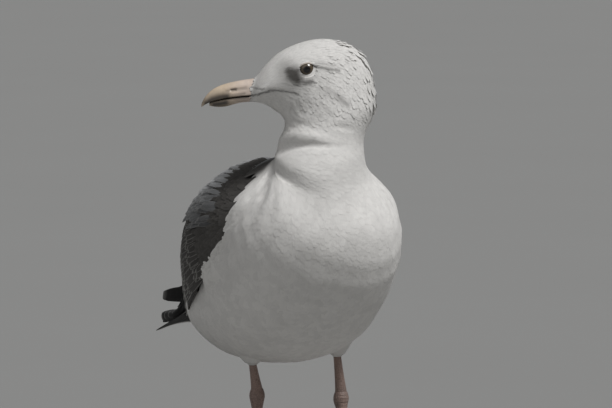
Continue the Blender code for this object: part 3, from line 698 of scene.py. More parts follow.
def feathers(coat, signs, a, b, home, length, width, root, tip, turn=0.0, seed=1, rows=6, columns=5,
             blunt=0.45, ragged=0.08, camber=0.02, lift=0.03, tilt=0.0, settle=0.8):
    """Vanes laid along a coat. t runs from root to tip and s from edge to edge: the width swells
    from the quill and closes in a rounded tip, the middle stands higher than the edges, and the
    whole rises from the root's height to the tip's. Signs give the way the coat lies."""
    count = len(a)
    nudge = 0.01
    rng = np.random.default_rng(seed)
    t = 1 - (1 - np.linspace(0, 1, rows)[None, :, None]) ** 1.5
    s = np.linspace(-1, 1, columns)[None, None, :]
    length, width, root, tip, turn, tilt = (spread(v, count) for v in (length, width, root, tip, turn, tilt))
    swell = 0.3 + 0.7 * np.sin(ramp(t, 0, 0.5) * np.pi / 2)
    side = width / 2 * swell * np.sqrt(1 - 0.85 * ramp(t, blunt, 1 - blunt) ** 2.4) * s
    fray = ragged * (rng.random((count, 1, columns)) - 0.5) * t ** 3
    along = length * t + width * (fray - 0.06 * s ** 2 * t ** 2)
    forward = along * np.cos(turn) - side * np.sin(turn)
    sideways = along * np.sin(turn) + side * np.cos(turn)
    # Millimetres to one unit of a at the root, and to one of b at each place along the vane.
    to_a = np.linalg.norm(directions(coat, a, b, nudge, np.zeros(count))[0], axis=-1)[:, None] / (2 * nudge)
    at_a = a[:, None, None] + signs[0] * forward / to_a[..., None]
    axis_a = a[:, None] + signs[0] * (length * t * np.cos(turn))[:, :, 0] / to_a
    axis_b = b[:, None] + 0 * axis_a
    to_b = np.linalg.norm(directions(coat, axis_a, axis_b, nudge, 0 * axis_a)[1], axis=-1) / (2 * nudge)
    at_b = b[:, None, None] + signs[1] * sideways / to_b[:, :, None]
    waver = lift * width * (rng.random((count, 1, 1)) - 0.5) * t ** 2
    droop = camber * width * s ** 2 * np.sin(np.pi * np.clip(t, 0.1, 0.9))
    height = root + (tip - root) * t ** settle - droop + waver + tilt * s
    points = coat(at_a, at_b, height)
    flat = 0 * height
    host = np.cross(*directions(coat, at_a, at_b, nudge, flat))
    host /= np.linalg.norm(host, axis=-1, keepdims=True) + 1e-12
    outwards = coat(at_a, at_b, flat + 0.5) - coat(at_a, at_b, flat)
    host *= np.sign((outwards * host).sum(-1, keepdims=True))
    return {"host": host, "points": points, "s": s + flat, "t": t + flat, "home": home,
            "tone": rng.random(count), "a": at_a, "b": at_b}


BAKE_PATCH = 0.003


def feather_piece(name, batches, finish, thickness=0.0, softness=0.0):
    """Joins batches of vanes into one mesh, with each vane's own map, its patch of the bake map at
    its root's place, and its colours. Softness turns the shading towards the host surface's own."""
    quads, first = [], 0
    for batch in batches:
        count, rows, columns = batch["s"].shape
        vane = batch["points"]
        faces = grid_faces(rows, columns)
        slant = np.cross(vane[:, 1:, :-1] - vane[:, :-1, :-1], vane[:, :-1, 1:] - vane[:, :-1, :-1])
        if (slant * batch["host"][:, :-1, :-1]).sum() > 0:
            faces = faces[:, ::-1]
        starts = first + np.arange(count) * rows * columns
        quads.append((faces + starts[:, None, None]).reshape(-1, 4))
        first += count * rows * columns
        batch["vane"] = np.stack([0.5 + 0.5 * batch["s"], batch["t"]], -1)
        batch["bake"] = batch["home"][:, None, None] + BAKE_PATCH * (batch["vane"] - 0.5)
    points, host, vane, bake, dye, edge = (
        np.concatenate([batch[key].reshape(-1, batch[key].shape[-1]) for batch in batches])
        for key in ("points", "host", "vane", "bake", "dye", "edge"))
    item = make_piece(name, points, np.concatenate(quads), [], finish,
                      {"vane": vane, "OFBake": bake}, {"dye": dye, "edge": edge})
    if softness:
        own = np.empty(3 * len(item.data.vertices), np.float32)
        item.data.vertex_normals.foreach_get("vector", own)
        soft = softness * host + (1 - softness) * own.reshape(-1, 3)
        item.data.normals_split_custom_set_from_vertices(soft / np.linalg.norm(soft, axis=1, keepdims=True))
    if thickness:
        shell = item.modifiers.new("quill", "SOLIDIFY")
        shell.thickness = thickness * MM
        shell.offset = -1.0
    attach(item, "root")
    return item


def plain(batch, colour, edge=None, edge_share=0.0, variation=0.08):
    """Gives every vane its colour, a little lighter or darker than the next, and its edge's colour."""
    tone = (1 + variation * (2 * batch["tone"] - 1))[:, None, None, None]
    colour = np.broadcast_to(colour, batch["points"].shape) * tone
    edge = colour if edge is None else np.broadcast_to(edge, batch["points"].shape)
    share = np.broadcast_to(edge_share, batch["s"].shape)[..., None]
    batch["dye"] = opaque(colour)
    batch["edge"] = np.concatenate([edge, share], -1)
    return batch


ONE_TURN = 6.2832   # radians
plumage, start = new_finish("plumage", Roughness=0.82, Specular_IOR_Level=0.25, Sheen_Weight=0.04,
                            Sheen_Roughness=0.5)
spot = start.spot()
vane = start.make("UVMap", {"uv_map": "vane"})
across = start.make("SeparateXYZ", (), {0: vane}, 0)
along = start.make("SeparateXYZ", (), {0: vane}, 1)
off = (across - 0.5).math("ABSOLUTE") * 2.0
wander = spot.noise(260.0)
side_rim = (off + 0.18 * (wander - 0.5)).step(0.70, 0.98)
rim = side_rim.math("MAXIMUM", (along + 0.10 * (wander - 0.5)).step(0.90, 0.985))
barbs = ((along * 46.0 - off * 9.0 + 2.0 * wander) * ONE_TURN).math("SINE")
shaft = 1.0 - off.step(0.02, 0.09)
mottle = 0.86 + 0.12 * spot.noise(75.0, 4.0, 0.6) + 0.14 * spot.noise(24.0) + 0.012 * barbs - 0.04 * shaft
# Mottle, barbs and shaft, times painted shade: each vane a little darker towards its root, where the vanes
# ahead overlap it.
mottle_and_root_shade = mottle * (0.90 + 0.10 * along.step(0.2, 0.9))
edged = tint(start.attribute("dye"), start.attribute("edge"), rim * start.attribute("edge", 3))
feed(start, Base_Color=tint(edged, mottle_and_root_shade, 1.0, "MULTIPLY"), Roughness=0.74 + 0.2 * spot.noise(120.0),
     Normal=(0.15 * barbs + 0.5 * shaft).bumped(0.35, 0.0003))

EYE_AHEAD, EYE_HEIGHT, EYE_ASIDE, EYE_RADIUS = 11.0, 317.0, 16.2, 7.2
# Half the length and half the height of the bare place round the eye, and how far ahead of it it lies.
LID_REACH, LID_SHIFT = (8.6, 6.1), 2.0


def feather_length(u):
    """Length of a contour feather by its root's place along the body."""
    return np.interp(u, [0, 4, 7, 9, 11, 13, 15, 16.5, 19, 21, BODY_END],
                     [26, 26, 24, 20, 16, 12.5, 9, 7.0, 5.6, 4.2, 2.8])


def wing_place(point):
    """Share of the way down a wing at a point's own Y and height, and the height of its lower edge."""
    y, z = point[..., 1], point[..., 2] - BODY_HEIGHT
    top, middle, low = wing_size(y, TOP, MIDDLE, LOW)
    upper = WING_UPPER_SHARE * np.arccos(ramp(z, middle, top - middle)) * 2 / np.pi
    lower = np.clip(WING_UPPER_SHARE + 0.38 * (middle - z) / (middle - low), 0, 1)
    return np.where(z > middle, upper, lower), low


def under_wing(points):
    """True well inside the stretch of trunk that the folded wings cover."""
    across, low = wing_place(points)
    x, y, z = np.abs(points[..., 0]), points[..., 1], points[..., 2] - BODY_HEIGHT
    inner = wing_size(y, START)[0] + 8 - 12 * ramp(y, -38, 12)
    front = wrist_y(across) - 7 - 5 * ramp(across, 0.25, 0.35)
    return (y > front) & (y < 130) & (z > low - 2 + 10 * ramp(y, 20, 20)) & (z < 252) & (x > inner)


def body_spacing(density):
    """Gap between roots: a share of the feather's length, and too wide for any under the wings,
    on the lids and on the bill, whose base the feathers meet in a point at the nostril's height."""
    def spacing(u, angle, points):
        ahead, aside, height = head_place(points)
        reach = np.hypot((ahead - EYE_AHEAD - LID_SHIFT) / LID_REACH[0], (height - EYE_HEIGHT) / LID_REACH[1])
        on_lids = (u > NAPE) & (reach < 1) & (np.abs(aside) > 8)
        on_bill = u > BODY_END + 0.30 + 0.45 * bump(height, 302.0, 2.2) + 0.12 * np.sin(height * 2.6)
        return np.where(under_wing(points) | on_lids | on_bill, 1e4, feather_length(u) * density)
    return spacing


def over_wings(u, angle, height):
    """The body's coat, pushed sideways where it would lie inside a folded wing's front: the wing's
    half width at the point's own Y and height is worked out and the point moved just past it."""
    point = body_coat(u, angle, height)
    x, y, z = np.abs(point[..., 0]), point[..., 1], point[..., 2] - BODY_HEIGHT
    row = spline(WING_ROWS[:, 0], WING_ROWS[:, TOP:START], np.clip(y, -62, 10).ravel())
    top, wide, middle, low, tuck = row.T.reshape(-1, *y.shape)
    above = ramp(z, middle, top - middle)
    last = np.arccos(np.clip(tuck, -1, 1))
    drop = np.arcsin(ramp(z, middle, low - middle) * np.sin(last))
    bowed = wide * (1 - above ** WING_ROUNDNESS) ** (1 / WING_ROUNDNESS)
    reach = np.where(z > middle, bowed, wide * np.cos(drop))
    across = np.where(z > middle, WING_UPPER_SHARE * np.arccos(above) * 2 / np.pi,
                      WING_UPPER_SHARE + (1 - WING_UPPER_SHARE) * drop / last)
    share = ramp(y - wrist_y(across), -16, 14) * ramp(y, 12, -20) * ramp(z - low, -12, 12)
    share = share * ramp(across, 0.26, 0.16)
    push = share * share * (3 - 2 * share) * np.clip(reach + 0.6 - front_inset(y, across) + height - x, 0, 25)
    point[..., 0] += np.sign(point[..., 0]) * push
    return point


# Name, start and end along the body, and the roots' gap as a share of the feathers' length.
COATS = [("coat_tail_end", 0.8, 3.0, 0.17), ("coat_belly", 3.0, 6.6, 0.15), ("coat_breast", 6.6, 10.4, 0.125),
         ("coat_neck", 10.4, 14.6, 0.14), ("coat_nape", 14.6, 17.4, 0.16), ("coat_crown", 17.4, 19.7, 0.21),
         ("coat_face", 19.7, BODY_END + 0.8, 0.22)]
for number, (name, start_u, end_u, density) in enumerate(COATS):
    a, b = scatter(body_outline, (start_u, end_u), (0, 2 * np.pi), body_spacing(density))
    count = len(a)
    length = feather_length(a)
    rng = np.random.default_rng(50 + number)
    home = np.stack([b / (2 * np.pi), (a - start_u) / (end_u - start_u)], -1) * 0.98 + 0.01
    loose = np.interp(a, [0, 10, 14.4, 15.4, 17.5, 19.5, 22], [0.25, 0.15, 0.4, 1.8, 2.2, 1.4, 0.7])
    # One in twenty stands up on the nape and the crown, most along the top of the head.
    tuft = np.interp(a, [14.4, 15.2, 18.2, 19.4], [0, 1, 1, 0]) * (rng.random(count) < 0.05)
    tuft = tuft * np.interp(np.cos(b), [0.3, 0.8, 0.95], [0.35, 0.6, 1.5])
    batch = feathers(over_wings, (-1, -1), a, b, home, length=length * (0.85 + 0.3 * rng.random(count)),
                     width=0.40 * length, root=-0.022 * length,
                     tip=0.02 * loose * length * rng.random(count) + tuft,
                     turn=0.18 * (0.5 + loose) * (rng.random(count) - 0.5), seed=80 + number,
                     blunt=0.25, ragged=0.12, camber=0.0, lift=0.02)
    ruffle = 0.8 * (rng.random((count, 1, 1, 3)) - 0.5)
    batch = plain(batch, coat_colour(batch["points"] + ruffle, batch["a"], batch["b"]), variation=0.05)
    feather_piece(name, [batch], plumage, softness=0.55 if start_u > 14 else 0.8)


# Loose feathers of the sides. Short fluffy ones of the flank curl up over the folded wing's lower
# edge just behind its front, and soft ones lie down the thighs and end at the bare shanks.
SIDE_FEATHERS = 150
for number, side in enumerate(SIDES):
    rng = np.random.default_rng(200 + number)
    along, off = even_shares(SIDE_FEATHERS)
    y = -46.0 + 36.0 * along
    across = 1.08 - 0.10 * off - 0.02 * along
    home = np.stack([0.5 * number + 0.4 * along, 0.5 + off * 0.4], -1) + 0.02
    batch = feathers(wing_coat(side), (1, -1), y, across, home, length=rng.uniform(8, 13, SIDE_FEATHERS),
                     width=3.2, root=-2.5, tip=rng.uniform(0.3, 1.4, SIDE_FEATHERS),
                     turn=rng.uniform(0.3, 1.0, SIDE_FEATHERS), seed=220 + number,
                     ragged=0.12, lift=0.15, settle=0.9)
    feather_piece("coat_side_" + side, [plain(batch, WHITE)], plumage, softness=0.5)

    v, angle = scatter(thigh_outline(side), (0.45, 2.98), (0, 2 * np.pi), lambda v, *_: 2.6 - 0.35 * v)
    rng = np.random.default_rng(230 + number)
    home = np.stack([0.5 * number + 0.45 * angle / (2 * np.pi), 0.1 + 0.25 * v], -1) + 0.02
    length = np.interp(v, [0, 3], [13.0, 7.0])
    batch = feathers(thigh_coat(side), (1, 1), v, angle, home, length, 0.5 * length, root=-0.9, tip=0.2,
                     turn=rng.uniform(-0.15, 0.15, len(v)), seed=240 + number, ragged=0.1, lift=0.08)
    feather_piece("coat_thigh_" + side, [plain(batch, WHITE * 0.97, variation=0.06)], plumage,
                  softness=0.7)


# Folded wings. Small coverts overlap like tiles behind the front edge, then longer ones, then the
# broad inner quills; the grey shoulder feathers of the back lie over them along the upper edge.
def wing_group(side, seed, y, across, length, width, root, tip, turn, colour, edge, edge_share, **shape):
    """One kind of feather on a wing, with its place on the bake map by Y and share across."""
    home = np.stack([0.5 * list(SIDES).index(side) + 0.02 + 0.45 * ramp(across, -0.2, 1.4),
                     0.02 + 0.95 * ramp(y, -60, 260)], -1)
    batch = feathers(wing_coat(side), (1, 1), y, across, home, length, width, root, tip, turn, seed, **shape)
    return plain(batch, colour, edge, edge_share, 0.12)


def tiled(start, end, low, high, gap_y, gap_across):
    """Roots in staggered rows, as tiles lie."""
    y, across = grid(np.arange(start, end, gap_y), np.arange(low, high, gap_across))
    shifted = across + gap_across / 2 * (np.arange(len(y)) % 2)[:, None]
    return y.ravel(), shifted.ravel()


INNER_QUILLS, GREATER_COVERTS, MEDIAN_COVERTS = 15, 30, 44
# Outer quills: the root's share across and Y, and the tip's Y.
PRIMARIES = np.array([(0.87, 118, 329), (0.77, 116, 316), (0.66, 112, 299), (0.54, 110, 278),
                      (0.42, 112, 254), (0.30, 118, 228)])
for number, side in enumerate(SIDES):
    seed = 300 + 40 * number
    rng = np.random.default_rng(seed)
    # Inner quills, the lowest one first and deepest.
    across = np.linspace(0.87, 0.12, INNER_QUILLS)
    y = 22.0 + 26.0 * (1 - across)
    rank = np.linspace(0, 1, INNER_QUILLS)
    batches = [wing_group(side, seed, y, across, length=quill_line(across) + 6.0 * np.sin(across * 9) - y,
                          width=21.0, root=-5.0 + 1.2 * rank, tip=-2.6 + 1.4 * rank, turn=0.0,
                          colour=COVERT_BROWN, edge=PALE_EDGE, edge_share=0.85,
                          rows=10, columns=7, tilt=0.45, lift=0.0, ragged=0.03, blunt=0.8)]

    # Greater coverts over the quills' roots.
    across = np.linspace(0.91, 0.25, GREATER_COVERTS)
    y = -8.0 + 70.0 * (1 - across) + 2 * rng.random(GREATER_COVERTS)
    rank = np.linspace(0, 1, GREATER_COVERTS)
    batches.append(wing_group(side, seed + 1, y, across, length=rng.uniform(58, 67, GREATER_COVERTS),
                              width=10.0, root=-3.6, tip=-1.4 + 0.5 * rank, turn=0.03,
                              colour=COVERT_BROWN * 0.8, edge=PALE_EDGE, edge_share=0.7,
                              rows=9, columns=7, tilt=0.3, lift=0.01, ragged=0.03, blunt=0.6))

    # Two rows of median coverts: where the row starts, and its feathers' least length.
    for forward, reach in ((-16.0, 46.0), (-34.0, 40.0)):
        across = np.linspace(0.95, 0.2, MEDIAN_COVERTS)
        y = forward + 62.0 * (1 - across) + 6 * rng.random(MEDIAN_COVERTS)
        batches.append(wing_group(side, seed + 2, y, across,
                                  length=rng.uniform(reach, reach + 10, MEDIAN_COVERTS), width=6.0, root=-2.8,
                                  tip=rng.uniform(-0.7, -0.4, MEDIAN_COVERTS),
                                  turn=rng.uniform(0, 0.05, MEDIAN_COVERTS),
                                  colour=COVERT_BROWN * 0.8, edge=PALE_EDGE, edge_share=0.42,
                                  rows=8, columns=7, tilt=0.2, lift=0.02, ragged=0.04, blunt=0.5))

    # Lesser coverts, from the front edge to a line that slants back towards the upper edge.
    y, across = tiled(-52.0, 26.0, 0.0, 0.98, 4.0, 0.036)
    keep = (y < -27.0 + 58.0 * (1 - across)) & (y > -52 + 10 * ramp(across, 0.3, -0.3))
    count = keep.sum()
    y, across = y[keep] + 2 * rng.random(count), across[keep] + 0.02 * rng.random(count)
    batches.append(wing_group(side, seed + 3, y, across, length=rng.uniform(17, 22, count), width=5.0,
                              root=-2.2, tip=rng.uniform(-0.3, 0, count), turn=rng.uniform(-0.1, 0.2, count),
                              colour=COVERT_BROWN * 1.05, edge=PALE_EDGE * 0.4, edge_share=0.15,
                              rows=6, columns=5, lift=0.05, ragged=0.15, blunt=0.2))

    # Shoulder feathers, long and loose, darker towards their lower edge and the wing's front: partly a
    # blend into the coverts' darker colour, partly painted shade of the wing's front and lower side.
    y, across = tiled(-34.0, 118.0, -0.06, 0.54, 4.6, 0.036)
    keep = (across < 0.48 - 0.0026 * y) & (across > 0.0008 * y - 0.04)
    keep = keep & (y > -30 + 16 * ramp(across, 0.3, -0.3))
    count = keep.sum()
    y, across = y[keep] + 4 * rng.random(count), across[keep] + 0.03 * rng.random(count)
    # Darkening towards the front and the lower edge: partly the coverts' colour, partly painted shade.
    tone_and_painted_shade = np.interp(y, [-30, 0], [0.55, 1.1])
    tone_and_painted_shade = tone_and_painted_shade * np.interp(0.48 - 0.0026 * y - across, [0, 0.22], [0.42, 1])
    tip, turn = rng.uniform(1.2, 2.1, count), rng.uniform(-0.05, 0.15, count)
    tone_and_painted_shade = tone_and_painted_shade * rng.uniform(0.95, 1.4, count)
    batches.append(wing_group(side, seed + 4, y, across, length=np.interp(y, [-34, 118], [30.0, 54.0]),
                              width=np.interp(y, [-34, 118], [4.6, 8.5]), root=-3.0, tip=tip, turn=turn,
                              colour=MANTLE_GREY * tone_and_painted_shade[:, None, None, None], edge=PALE_EDGE * 0.8,
                              edge_share=0.35, rows=8, columns=5, lift=0.06, ragged=0.25, blunt=0.2,
                              tilt=0.1, camber=0.12))
    feather_piece("coat_wing_" + side, batches, plumage, softness=0.3)

    # The right wing's tips sag and stand a little outwards; the left one's turn in.
    across, y, tip_y = PRIMARIES.T
    rank = np.linspace(0, 1, len(PRIMARIES))
    batch = feathers(wing_coat(side), (1, 1), y, across, np.stack([across, rank], -1), (tip_y - y) * 1.035,
                     width=19.0, root=-4.2 + 1.4 * rank, tip=-2.0 + 1.6 * rank, turn=-0.004, seed=seed + 5,
                     rows=22, columns=7, blunt=0.82, ragged=0.0, camber=0.02, lift=0.0, tilt=0.35)
    x, y, z = np.moveaxis(batch["points"], -1, 0)
    if side == "right":
        fall = np.sin(ramp(y, 185, 145) * np.pi / 2)
        low = wing_size(y, LOW)[0] + BODY_HEIGHT
        batch["points"][..., 2] = low - 18 * fall + (z - low) * (1 - 0.6 * bump(y, 250, 45))
        batch["points"][..., 0] = x - 5 * fall
    else:
        batch["points"][..., 0] = x - 23 * np.clip((y - 200) / 130, 0, 1.1) ** 1.5
    colour = mixed(QUILL_BLACK, WHITE * 0.9, 0.5 * soft_step(batch["t"], 0.99, 1 / 300))
    batch = plain(batch, colour, QUILL_BLACK * 3, 0.4, 0.1)
    primaries = feather_piece("quills_" + side, [batch], plumage, thickness=0.35)
    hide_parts("primaries_" + side)


# Tail. Twelve flat quills fan from the rump, the middle pair on top, white at the base with a broad
# black band; soft white coverts lie over and under their roots.
TAIL_ROOT, TAIL_TIP = (150.0, 133.0), (281.0, 87.0)
TAIL_HALF_WIDTHS = (14.0, 31.0)
TAIL_ROOF, TAIL_CORNER_DROP = 5.0, 5.0
TAIL_QUILLS, TAIL_COVERTS = 12, 120


def tail_coat(v, across, height):
    """Plate that falls from root to tip, roofed across, its corners a little short; the height is
    measured square to the fall."""
    x = across * (TAIL_HALF_WIDTHS[0] + (TAIL_HALF_WIDTHS[1] - TAIL_HALF_WIDTHS[0]) * v)
    run, drop = TAIL_TIP[0] - TAIL_ROOT[0], TAIL_TIP[1] - TAIL_ROOT[1]
    size = np.hypot(run, drop)
    y = TAIL_ROOT[0] + run * v - TAIL_CORNER_DROP * across ** 2 * v - height * drop / size
    z = TAIL_ROOT[1] + drop * v - TAIL_ROOF * across ** 2 + height * run / size
    return np.stack([x + 0 * y, y + 0 * x, z + BODY_HEIGHT + 0 * x], -1)


side = np.tile([-1, 1], TAIL_QUILLS // 2)
rank = np.arange(TAIL_QUILLS) // 2
across = side * (0.07 + 0.17 * rank)
home = np.stack([0.5 + 0.45 * across, 0.1 + 0 * across], -1)
batch = feathers(tail_coat, (1, 1), 0.02 + 0 * across, across, home, length=136.0 - 0.8 * rank, width=14.0,
                 root=0.6 - 0.16 * rank, tip=0.7 - 0.2 * rank, seed=500, rows=24, columns=7, blunt=0.86,
                 ragged=0.0, camber=0.01, lift=0.0, tilt=0.18 * side)
t, s = batch["t"], batch["s"]
band = soft_step(t - 0.02 * s ** 2, 0.44, 1 / 60) * soft_step(t, 0.975, -1 / 160)
batch = plain(batch, mixed(WHITE * 0.96, QUILL_BLACK * 1.3, band), variation=0.05)
tail = feather_piece("tail_quills", [batch], plumage, thickness=0.4)
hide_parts("tail")

batches = []
for number, facing in enumerate((1, -1)):
    rng = np.random.default_rng(520 + number)
    v, across = even_shares(TAIL_COVERTS)
    v, across = 0.06 + 0.20 * v, 1.9 * across - 0.95
    home = np.stack([0.05 + 0.9 * (across + 1) / 2, 0.5 * number + v], -1)
    batch = feathers(tail_coat, (1, facing), v, across, home,
                     length=rng.uniform(30, 44, TAIL_COVERTS) - 8 * np.abs(across), width=11.0,
                     root=facing * 2.0, tip=facing * rng.uniform(1.6, 2.8, TAIL_COVERTS),
                     turn=rng.uniform(-0.1, 0.1, TAIL_COVERTS), seed=530 + number, ragged=0.12)
    batches.append(plain(batch, WHITE, variation=0.05))
feather_piece("coat_tail_base", batches, plumage)


# Bill. Two horny sheaths: the upper one hooks over the lower at the tip, with a slit nostril in a
# groove; the lower has its angle two thirds along. Flesh-straw horn, dark before the tip.
BILL_BASE_LOW, BILL_BASE_SLANT, BILL_MEETING_FLATNESS = 291.3, 0.214, 0.12
# Ahead of the neck's axis, upper and lower edges' heights, half the width.
UPPER_BILL_ROWS = np.array([(54.4, 309, 295.8, 7.3), (62, 307.9, 295.2, 6.9), (70, 306.2, 294.2, 6.2),
                            (77, 304, 292.8, 5.4), (83, 300.7, 291.2, 4.4), (87.3, 296.2, 289.4, 3.1),
                            (89.8, 291.8, 287.8, 1.8), (90.8, 289.2, 287.2, 0.8)])
LOWER_BILL_ROWS = np.array([(54.4, 295.6, 291.2, 6.7), (62, 295.1, 290.4, 6.2), (69, 294.3, 288.4, 5.5),
                            (75.4, 293.2, 287.3, 4.6), (81, 291.9, 287.6, 3.4), (84.8, 290.7, 288.3, 2.0)])
BILL_STEPS, BILL_AROUND = 90, 64
# The groove and the nostril in it: width and path by (ahead, height).
GROOVE = (1.1, [(57, 301.8), (63, 301.0), (72, 299.3)])
NOSTRIL = (0.75, [(64.6, 300.8), (68.2, 300.4)])
# Dark marks of the horn, with a strength before the width and path; the groove's and the nostril's marks are
# painted shade in these hollows.
UPPER_BILL_MARKS = [(0.93, 3.1, [(71.5, 295.6), (77, 295), (83, 293), (87, 290.5)]),
                    (0.5, 0.9, [(58, 298), (68, 296.2), (75, 295)]),
                    (0.85, 0.55, [(55, 295.7), (70, 294.1), (83, 291.1)]), (0.35, *GROOVE), (0.97, *NOSTRIL)]
LOWER_BILL_MARKS = [(0.92, 2.9, [(72.5, 291), (77, 290), (81, 289.3)]),
                    (0.85, 0.9, [(55, 295.2), (69, 293.8), (81, 291.4), (84.8, 290.2)])]


def bill_surface(rows, upper):
    """Half of the bill: round outside, flat where the halves meet. A point keeps its distance ahead,
    leaning back with height at the base; the sides hollow along the nostril's groove."""
    share = np.linspace(0, 1, BILL_STEPS)[:, None]
    place = spline(np.arange(len(rows)), rows, share[:, 0] * (len(rows) - 1))
    angle = circle(BILL_AROUND)[None]
    high, low = place[:, 1:2], place[:, 2:3]
    widest = BILL_MEETING_FLATNESS if upper else 1 - BILL_MEETING_FLATNESS
    middle = low + (high - low) * widest
    height = middle + np.where(np.cos(angle) > 0, high - middle, middle - low) * np.cos(angle)
    ahead = place[:, 0:1] - BILL_BASE_SLANT * (height - BILL_BASE_LOW) * (1 - share)
    side = np.sin(angle) * place[:, 3:4]
    if upper:
        side = side * (1 - 0.08 * stroke(ahead, height, *GROOVE) - 0.22 * stroke(ahead, height, *NOSTRIL))
    return ahead, side, height


BILL_HORN = np.array([0.62, 0.50, 0.37])
BILL_FLESH = np.array([0.66, 0.55, 0.47])
HORN_DARK = np.array([0.035, 0.030, 0.028])
horn_finish, start = new_finish("bill_horn", Roughness=0.38, Coat_Weight=0.25, Coat_Roughness=0.25)
spot = start.spot()
grain = spot.noise(420.0, 5.0, 0.6)
blotch = spot.noise(130.0, 3.0, 0.6)
stain = 0.78 + 0.30 * grain * blotch.step(0.2, 0.8) + 0.12 * blotch
feed(start, Base_Color=tint(start.attribute("dye"), stain, 1.0, "MULTIPLY"), Roughness=0.30 + 0.25 * grain,
     Normal=(grain + blotch).bumped(0.3, 0.0003))
for name, rows, marks in (("upper_bill", UPPER_BILL_ROWS, UPPER_BILL_MARKS),
                          ("lower_bill", LOWER_BILL_ROWS, LOWER_BILL_MARKS)):
    ahead, side, height = bill_surface(rows, name == "upper_bill")
    colour = mixed(BILL_FLESH, BILL_HORN, ramp(ahead, 58, 16))
    colour = mixed(colour, HORN_DARK, strongest(ahead, height, marks))
    half = make_piece(name + "_sheath", head_point(ahead, side, height),
                      *tube_faces(BILL_STEPS, BILL_AROUND, True), horn_finish, None, {"dye": opaque(colour)})
    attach(half, "root")
    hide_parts(name)


# Eyes. A dark wet ball with a dusky iris round a black pupil, set in a ring of bare skin whose lids
# close over its rim, with fine folds below.
PUPIL_RADIUS, IRIS_RADIUS = 2.5, 4.6
OPENING = (5.7, 4.3)                    # half the length and half the height between the lids
IRIS_BROWN = np.array([0.085, 0.066, 0.044])
PUPIL_BLACK = np.array([0.006, 0.005, 0.005])
LID_SKIN = np.array([0.50, 0.44, 0.38])
eye_finish, start = new_finish("wet_eye", Roughness=0.25, Coat_Weight=0.35, Coat_Roughness=0.04)
feed(start, Base_Color=start.attribute("dye"))
lid_finish, start = new_finish("bare_lids", Roughness=0.55)
spot = start.spot()
feed(start, Base_Color=tint(start.attribute("dye"), 0.8 + 0.3 * spot.noise(900.0), 1.0, "MULTIPLY"),
     Normal=spot.noise(1500.0).bumped(0.4, 0.0002))


def head_side(ahead, height, sign):
    """How far the head's surface stands to the side at a place seen square from the side: the body's
    place and angle are corrected a few times by the misses ahead and in height."""
    u, angle = 18.6 + 0 * ahead, sign * np.pi / 2 + 0 * ahead
    nudge = 0.01
    for _ in range(8):
        x, _, z = head_place(body_outline(u, angle))
        next_x, _, next_z = head_place(body_outline(u + nudge, angle))
        round_x, _, round_z = head_place(body_outline(u, angle + nudge))
        x_by_u, z_by_u = (next_x - x) / nudge, (next_z - z) / nudge
        x_by_angle, z_by_angle = (round_x - x) / nudge, (round_z - z) / nudge
        miss_x, miss_z = ahead - x, height - z
        size = x_by_u * z_by_angle - x_by_angle * z_by_u
        u = u + np.clip((z_by_angle * miss_x - x_by_angle * miss_z) / size, -0.6, 0.6)
        angle = angle + np.clip((x_by_u * miss_z - z_by_u * miss_x) / size, -0.4, 0.4)
    return head_place(body_outline(u, angle))[1]


